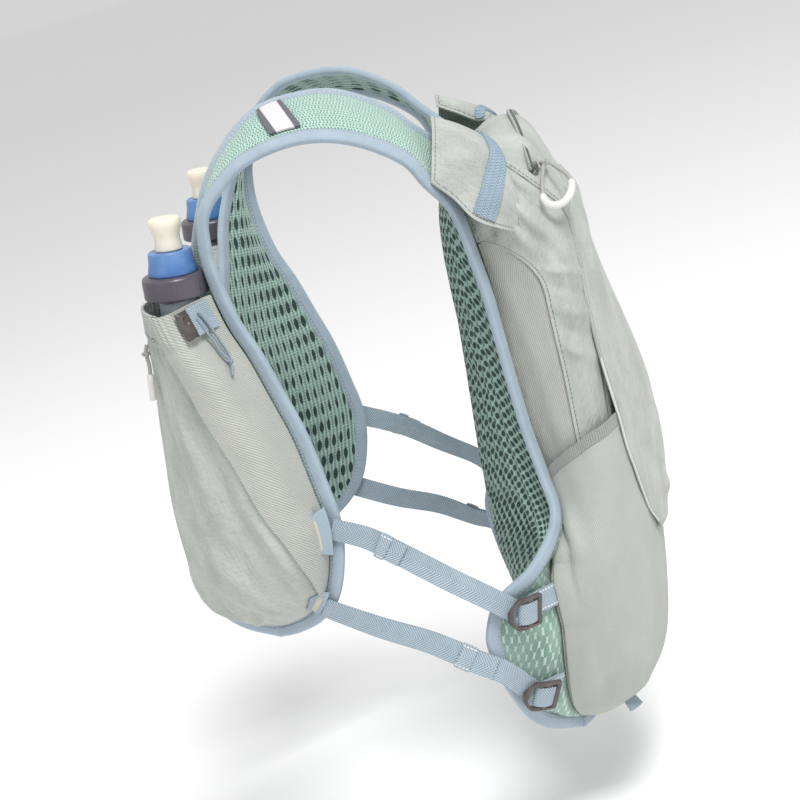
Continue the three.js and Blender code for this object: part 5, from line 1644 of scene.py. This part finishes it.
for strap in side_straps:
    start = spline(arm_edge, strap["start"])
    start = start + inward(arm_edge, strap["start"]) * 0.5 * binding_width
    start = start + outward(start) * strap_seat
    lock, across, off, up = back_frame(strap["along"], strap["across"])
    last = lock + off * strap_seat - across * strap_end * buckle_length
    curve = np.concatenate([[start], strap["route"], [last]])
    length = lengths(spline(curve, np.linspace(0, 1, 200)), 0)[-1]
    half_keeper = keeper_length / length / 2
    for side, way in sides_of_vest:
        which = strap["name"] + side
        points, away, hump = strap_points(curve, off, webbing_width, (0, 1), 110, 9)
        cloth_piece("strap_web_" + which, points, webbing_thickness, webbing, ["strap_" + which],
                    "webbing", "stretched", ["harness_mesh" + side], way, normal=away, lift=hump)
        span = (strap["keeper"] + half_keeper, strap["doubled"])
        points, away, hump = strap_points(curve, off, webbing_width, span, 30, 9)
        cloth_piece("strap_tail_" + which, points, webbing_thickness, webbing, [], "webbing", "folded",
                    ["strap_web_" + which], way, normal=away, lift=hump + tail_lift)
        span = (strap["keeper"] - half_keeper, strap["keeper"] + half_keeper)
        points, away, hump = strap_points(curve, off, webbing_width + 2, span, 22, 11)
        a, b = mesh_grid(22, 11)
        round_over = 0.5 * np.sin(np.pi * a) ** 0.5 - 0.9 * step_up(np.abs(2 * b - 1), 0.7, 1)
        cloth_piece("keeper_loop_" + which, points, keeper_thickness, stitched_webbing,
                    ["keeper_" + which], "webbing", "folded", ["strap_web_" + which], way, normal=away,
                    lift=hump + webbing_thickness / 2 + seam_gap + keeper_thickness / 2, outer=round_over)
        node = "buckle_" + which
        seat = lock_seat + strap["rise"] * panel_ease
        ladder_lock("ladder_lock_" + which, lock, across, off, up, seat, way, node)
        a, b = mesh_grid(28, 9)
        angle = np.pi * (a - 0.5) * 1.3
        bar = lock + across * (loop_place - 0.5) * buckle_length + off * (seat - loop_sink)
        rise = buckle_thickness / 2 + webbing_thickness * 1.1
        loop = bar + across * (loop_reach * np.sin(angle))[..., None]
        loop = loop + off * (rise * np.cos(angle))[..., None]
        loop = loop + up * ((webbing_width - 0.6) * (b - 0.5))[..., None]
        cloth_piece("lock_loop_" + which, loop, loop_thickness, webbing, [], "webbing", "folded",
                    ["ladder_lock_" + which], way)
        a, b = mesh_grid(50, 9)
        u = strap["across"] + (strap["tab"] - strap["across"]) * a
        p, _, away, upward = back_frame(np.full_like(u, strap["along"]), u)
        points = p + upward * (webbing_width * (b - 0.5))[..., None]
        lift = strap_seat + strap_hump + (tab_seat - strap_seat - strap_hump) * np.minimum(1, 1.5 * a)
        cloth_piece("anchor_tab_" + which, points, webbing_thickness, stitched_webbing,
                    ["anchor_" + which], "webbing", "stretched", ["back_mesh"], way, normal=away,
                    lift=lift)
        a, b = mesh_grid(40, 16)
        row = strap["patch"] + 0.5 * patch_length / pocket_long * (2 * a - 1) * (1 - 0.3 * b)
        t = spline(pocket_rows, row)[..., 0]
        seat_on = inward(arm_edge, t) * 0.5 * binding_width
        low = spline(arm_edge, t) + seat_on
        low = low + outward(low) * (strap_seat + webbing_thickness / 2 + 1.2 * panel_ease)
        spread = [pocket(row, np.full_like(row, share)) for share in (0.03, 0.1)]
        clear = pocket_lap + label_thickness + 1.2
        spread = [points + outward(points) * clear for points in spread]
        points = spline([low, *spread], b)
        away = -facing(points)
        cloth_piece("tack_patch_" + which, points, label_thickness, patch_cloth, ["patch_" + which],
                    "tape", "stretched", ["armhole_tape" + side], way, normal=away)


# Labels: a bare pale band on charcoal webbing, sewn flat across each shoulder strap just
# in front of the top of the shoulder.
label_width = 15
label_row = {"arm": 0.212, "neck": 0.238, "ease": 0.04}


def label_look(place, across, along, outer):
    """A smooth pale band down the middle of a darker woven tape."""
    fuzz = place.noise(1.3, 4)
    rib = along.waves(1.2)
    band = 1 - across.math("ABSOLUTE").ramp(5.9, 6.2)
    dark = (rib * 0.5 + fuzz * 0.5).tint(linear(112, 113, 118), linear(78, 80, 86))
    pale = fuzz.tint(linear(216, 211, 213), linear(198, 194, 197))
    line = 1 - (across.math("ABSOLUTE") - 6.05).math("ABSOLUTE").ramp(0.1, 0.5)
    return {
        "Base Color": band.tint(dark, pale),
        "Roughness": 0.8 - 0.35 * band + 0.1 * fuzz,
        "height": band * 0.3 - line * 0.4 + rib * 0.12 * (1 - band),
    }


label_cloth = finish("shoulder_label", label_look)
for side, way in sides_of_vest:
    a, b = mesh_grid(60, 21)
    half = 0.5 * label_width / lengths(spline(arm_edge, np.linspace(0, 1, 400)), 0)[-1]
    t = label_row["arm"] + (label_row["neck"] - label_row["arm"]) * a + half * (2 * b - 1)
    points = chest(t, label_row["ease"] + (1 - 2 * label_row["ease"]) * a)
    ease = mesh_thickness / 2 + panel_ease + label_thickness / 2
    cloth_piece("label_band" + side, points, label_thickness, label_cloth, ["shoulder_label" + side],
                "label", "stretched", ["harness_mesh" + side], way, normal=outward(points), lift=ease)


# Main zip: coil and tape across the hood, with its slider at the wearer's left, which the
# pack's pull hangs from.
zip_width = 5
zip_thickness = 1.6
slider_length = 7
slider_width = 6
slider_thickness = 3.5
zip_ends = {"along": 0.142, "across": 0.3475, "rise": 0.033}


def zip_line(a):
    across = zip_ends["across"] + (1 - 2 * zip_ends["across"]) * a
    return zip_ends["along"] - zip_ends["rise"] * (1 - np.abs(2 * a - 1) ** 1.5), across


def coil_look(place, across, along, outer):
    """Zip tape with a coil of fine teeth along its middle, and painted shade between the teeth."""
    teeth = across.waves(1.5)
    coil = 1 - (along - zip_width / 2).math("ABSOLUTE").ramp(0.7, 1.0)
    fuzz = place.noise(1.6, 3)
    tape = fuzz.tint(linear(168, 175, 169), linear(134, 141, 136))
    # painted shade: the gaps between the teeth are coloured dark
    tooth = teeth.tint(linear(58, 62, 62), linear(104, 109, 108))
    return {
        "Base Color": coil.tint(tape, tooth),
        "Roughness": 0.75 - 0.3 * coil,
        "height": coil * (0.5 + teeth * 0.5) + fuzz * 0.1,
    }


zip_coil = finish("zip_coil", coil_look)
a, b = mesh_grid(8, 160)
along, across = zip_line(b)
points = pack(along + zip_width / vest_height * (a - 0.5), across)
own = facing(points)
zip_seat = cloth_thickness / 2 + 1.4 * panel_ease + zip_thickness / 2
cloth_piece("zip_tape", points, zip_thickness, zip_coil, ["pack_zip"], "webbing", "stretched",
            ["pack_shell"], normal=own, lift=zip_seat)


def rounded_block(name, centre, ways, sizes, material):
    """A moulded block with rounded edges and slightly domed faces."""
    count = 9
    share = np.linspace(-1, 1, count)
    points, faces = [], []
    for axis in range(3):
        for sign in (-1, 1):
            first, second = (axis + 1) % 3, (axis + 2) % 3
            start = len(points)
            for i in share:
                for j in share:
                    v = np.zeros(3)
                    v[axis], v[first], v[second] = sign, i, j
                    v = v / np.linalg.norm(v, 5)
                    points.append(centre + sum(ways[k] * v[k] * sizes[k] / 2 for k in range(3)))
            quads = grid_faces(count, count, start)
            faces += quads if sign > 0 else [q[::-1] for q in quads]
    points = np.array(points)
    keys = {}
    number = [keys.setdefault(tuple(np.round(p, 4)), len(keys)) for p in points]
    merged = np.array(list(keys))
    faces = [tuple(number[k] for k in f) for f in faces]
    local = (merged - centre) @ np.array(ways).T
    shown(name, merged, faces, local, material, [], 70)


along, across = zip_line(np.array(0.03))
seat = pack(along, across)
away = outward(seat)
side_way = unit(np.cross(away, (0, 0, 1.0)))
seat = seat + away * (zip_seat + slider_thickness / 2)
slider_plastic = finish("slider_plastic", soft_plastic(linear(78, 78, 78), linear(120, 120, 119), 0.25))
slider_ways = [side_way, np.cross(away, side_way), away]
rounded_block("zip_slider", seat, slider_ways, (slider_width, slider_length, slider_thickness),
              slider_plastic)


# Cord locks: a flat toggle on each pocket's hem, with a ring that the drawcord runs
# through and a short tab of tape.
lock_length = 15
lock_width = 10
lock_thickness = 4
lock_place = {"row": 0.03, "across": 0.15}
for side, way in sides_of_vest:
    a, b = mesh_grid(30, 20)
    row = lock_place["row"] + lock_length / (0.6 * vest_height) * (a - 0.5)
    f = lock_place["across"] + lock_width / (2.6 * flask_width) * (b - 0.5)
    points = pocket(row, f)
    off = -facing(points)
    lift = pocket_lap + cloth_thickness / 2 + 0.6 * panel_ease + lock_thickness / 2
    corner = np.clip(np.hypot(*(np.maximum(np.abs(2 * v - 1) - 0.55, 0) / 0.45 for v in (a, b))), 0, 1)
    dome = -lock_thickness * 0.42 * (1 - np.sqrt(1 - corner**2))
    ring = np.hypot((a - 0.34) * lock_length, (b - 0.5) * lock_width)
    dish = -1.0 * (1 - step_up(ring, 1.6, 2.2)) + 0.5 * bump_at(ring, 2.6, 0.5)
    made, faces, cloth, trim = wall(points, lock_thickness, off, lift, dome + dish, -dome)
    shown("toggle" + side, flipped(made, way), faces, cloth, lock_plastic, ["cord_lock" + side],
          50, trim)


# Mouth tabs: a short piece of woven tape at the arm side of each pocket's hem, which ties
# the hem to the binding. Its place and its reach are shares of the pocket.
tab_start = 0.004
tab_down = 0.052
tab_across = 0.1
tab_rise = 1.7
for side, way in sides_of_vest:
    a, b = mesh_grid(24, 24)
    points = pocket(tab_start + tab_down * a, tab_start + tab_across * b)
    away = -facing(points)
    cloth_piece("mouth_tab" + side, points, label_thickness, webbing, [], "webbing", "stretched",
                ["pocket_gusset" + side], way, normal=away,
                lift=pocket_lap * np.minimum(1, 1.6 * b) + tab_rise)


# Chest strap: a plain band of the same webbing between the two chest panels, closed by a
# plain moulded clasp, behind the flasks.
clasp_length = 24
clasp_width = 19
clasp_thickness = 7
chest_strap_along = 0.57
chest_strap_bow = 0.05 * front_reach
start = spline(neck_edge, chest_strap_along)
start = start - inward(neck_edge, chest_strap_along) * 0.9 * binding_width
start = start + outward(start) * (binding_thickness / 2 + 2.5 * panel_ease + webbing_thickness / 2)
a, b = mesh_grid(90, 9)
points = start * (1 - a)[..., None] + start * mirror * a[..., None]
points[..., 1] -= chest_strap_bow * 4 * a * (1 - a)
points[..., 2] += webbing_width * (b - 0.5)
cloth_piece("chest_strap", points, webbing_thickness, webbing, ["sternum_strap"], "webbing", "stretched",
            ["neck_tape_left"], normal=outward(points))
clasp_place = np.array([0, start[1] - chest_strap_bow, start[2]])
rounded_block("chest_clasp", clasp_place, np.eye(3), (clasp_length, clasp_thickness, clasp_width),
              lock_plastic)


# Foot tab: a short fold of woven tape, caught in the seam at the pack's bottom and standing
# out of it.
tab_length = 8
tab_row = 0.945
tab_span = (0.275, 0.335)
a, b = mesh_grid(14, 14)
u = tab_span[0] + (tab_span[1] - tab_span[0]) * b
step = 5e-3
row = np.full_like(u, tab_row)
off = unit(np.cross(pack(row + step, u) - pack(row - step, u), pack(row, u + step) - pack(row, u - step)))
stand = 2 * cloth_thickness + panel_ease + seam_gap + a * tab_length
cloth_piece("foot_tab", pack(row, u) + off * stand[..., None], webbing_thickness, webbing, ["hem_tab"],
            "webbing", "folded", ["pack_shell"])


# Floor: one wide sheet of plain white paper under the vest, as a product table has it.
floor_mesh = bpy.data.meshes.new("floor")
floor_corners = [(-1, -1), (1, -1), (1, 1), (-1, 1)]
floor_points = [(x * floor_half * MM, y * floor_half * MM, floor_height * MM) for x, y in floor_corners]
floor_mesh.from_pydata(floor_points, [], [(0, 1, 2, 3)])
floor = bpy.data.objects.new("floor", floor_mesh)
bpy.context.scene.collection.objects.link(floor)


def paper(place, across, along, outer):
    """Plain white paper."""
    grain = place.noise(0.02, 2)
    return {"Base Color": grain.tint(linear(250, 250, 250), linear(252, 252, 252)), "Roughness": 0.95}


floor_mesh.materials.append(finish("white_floor", paper))
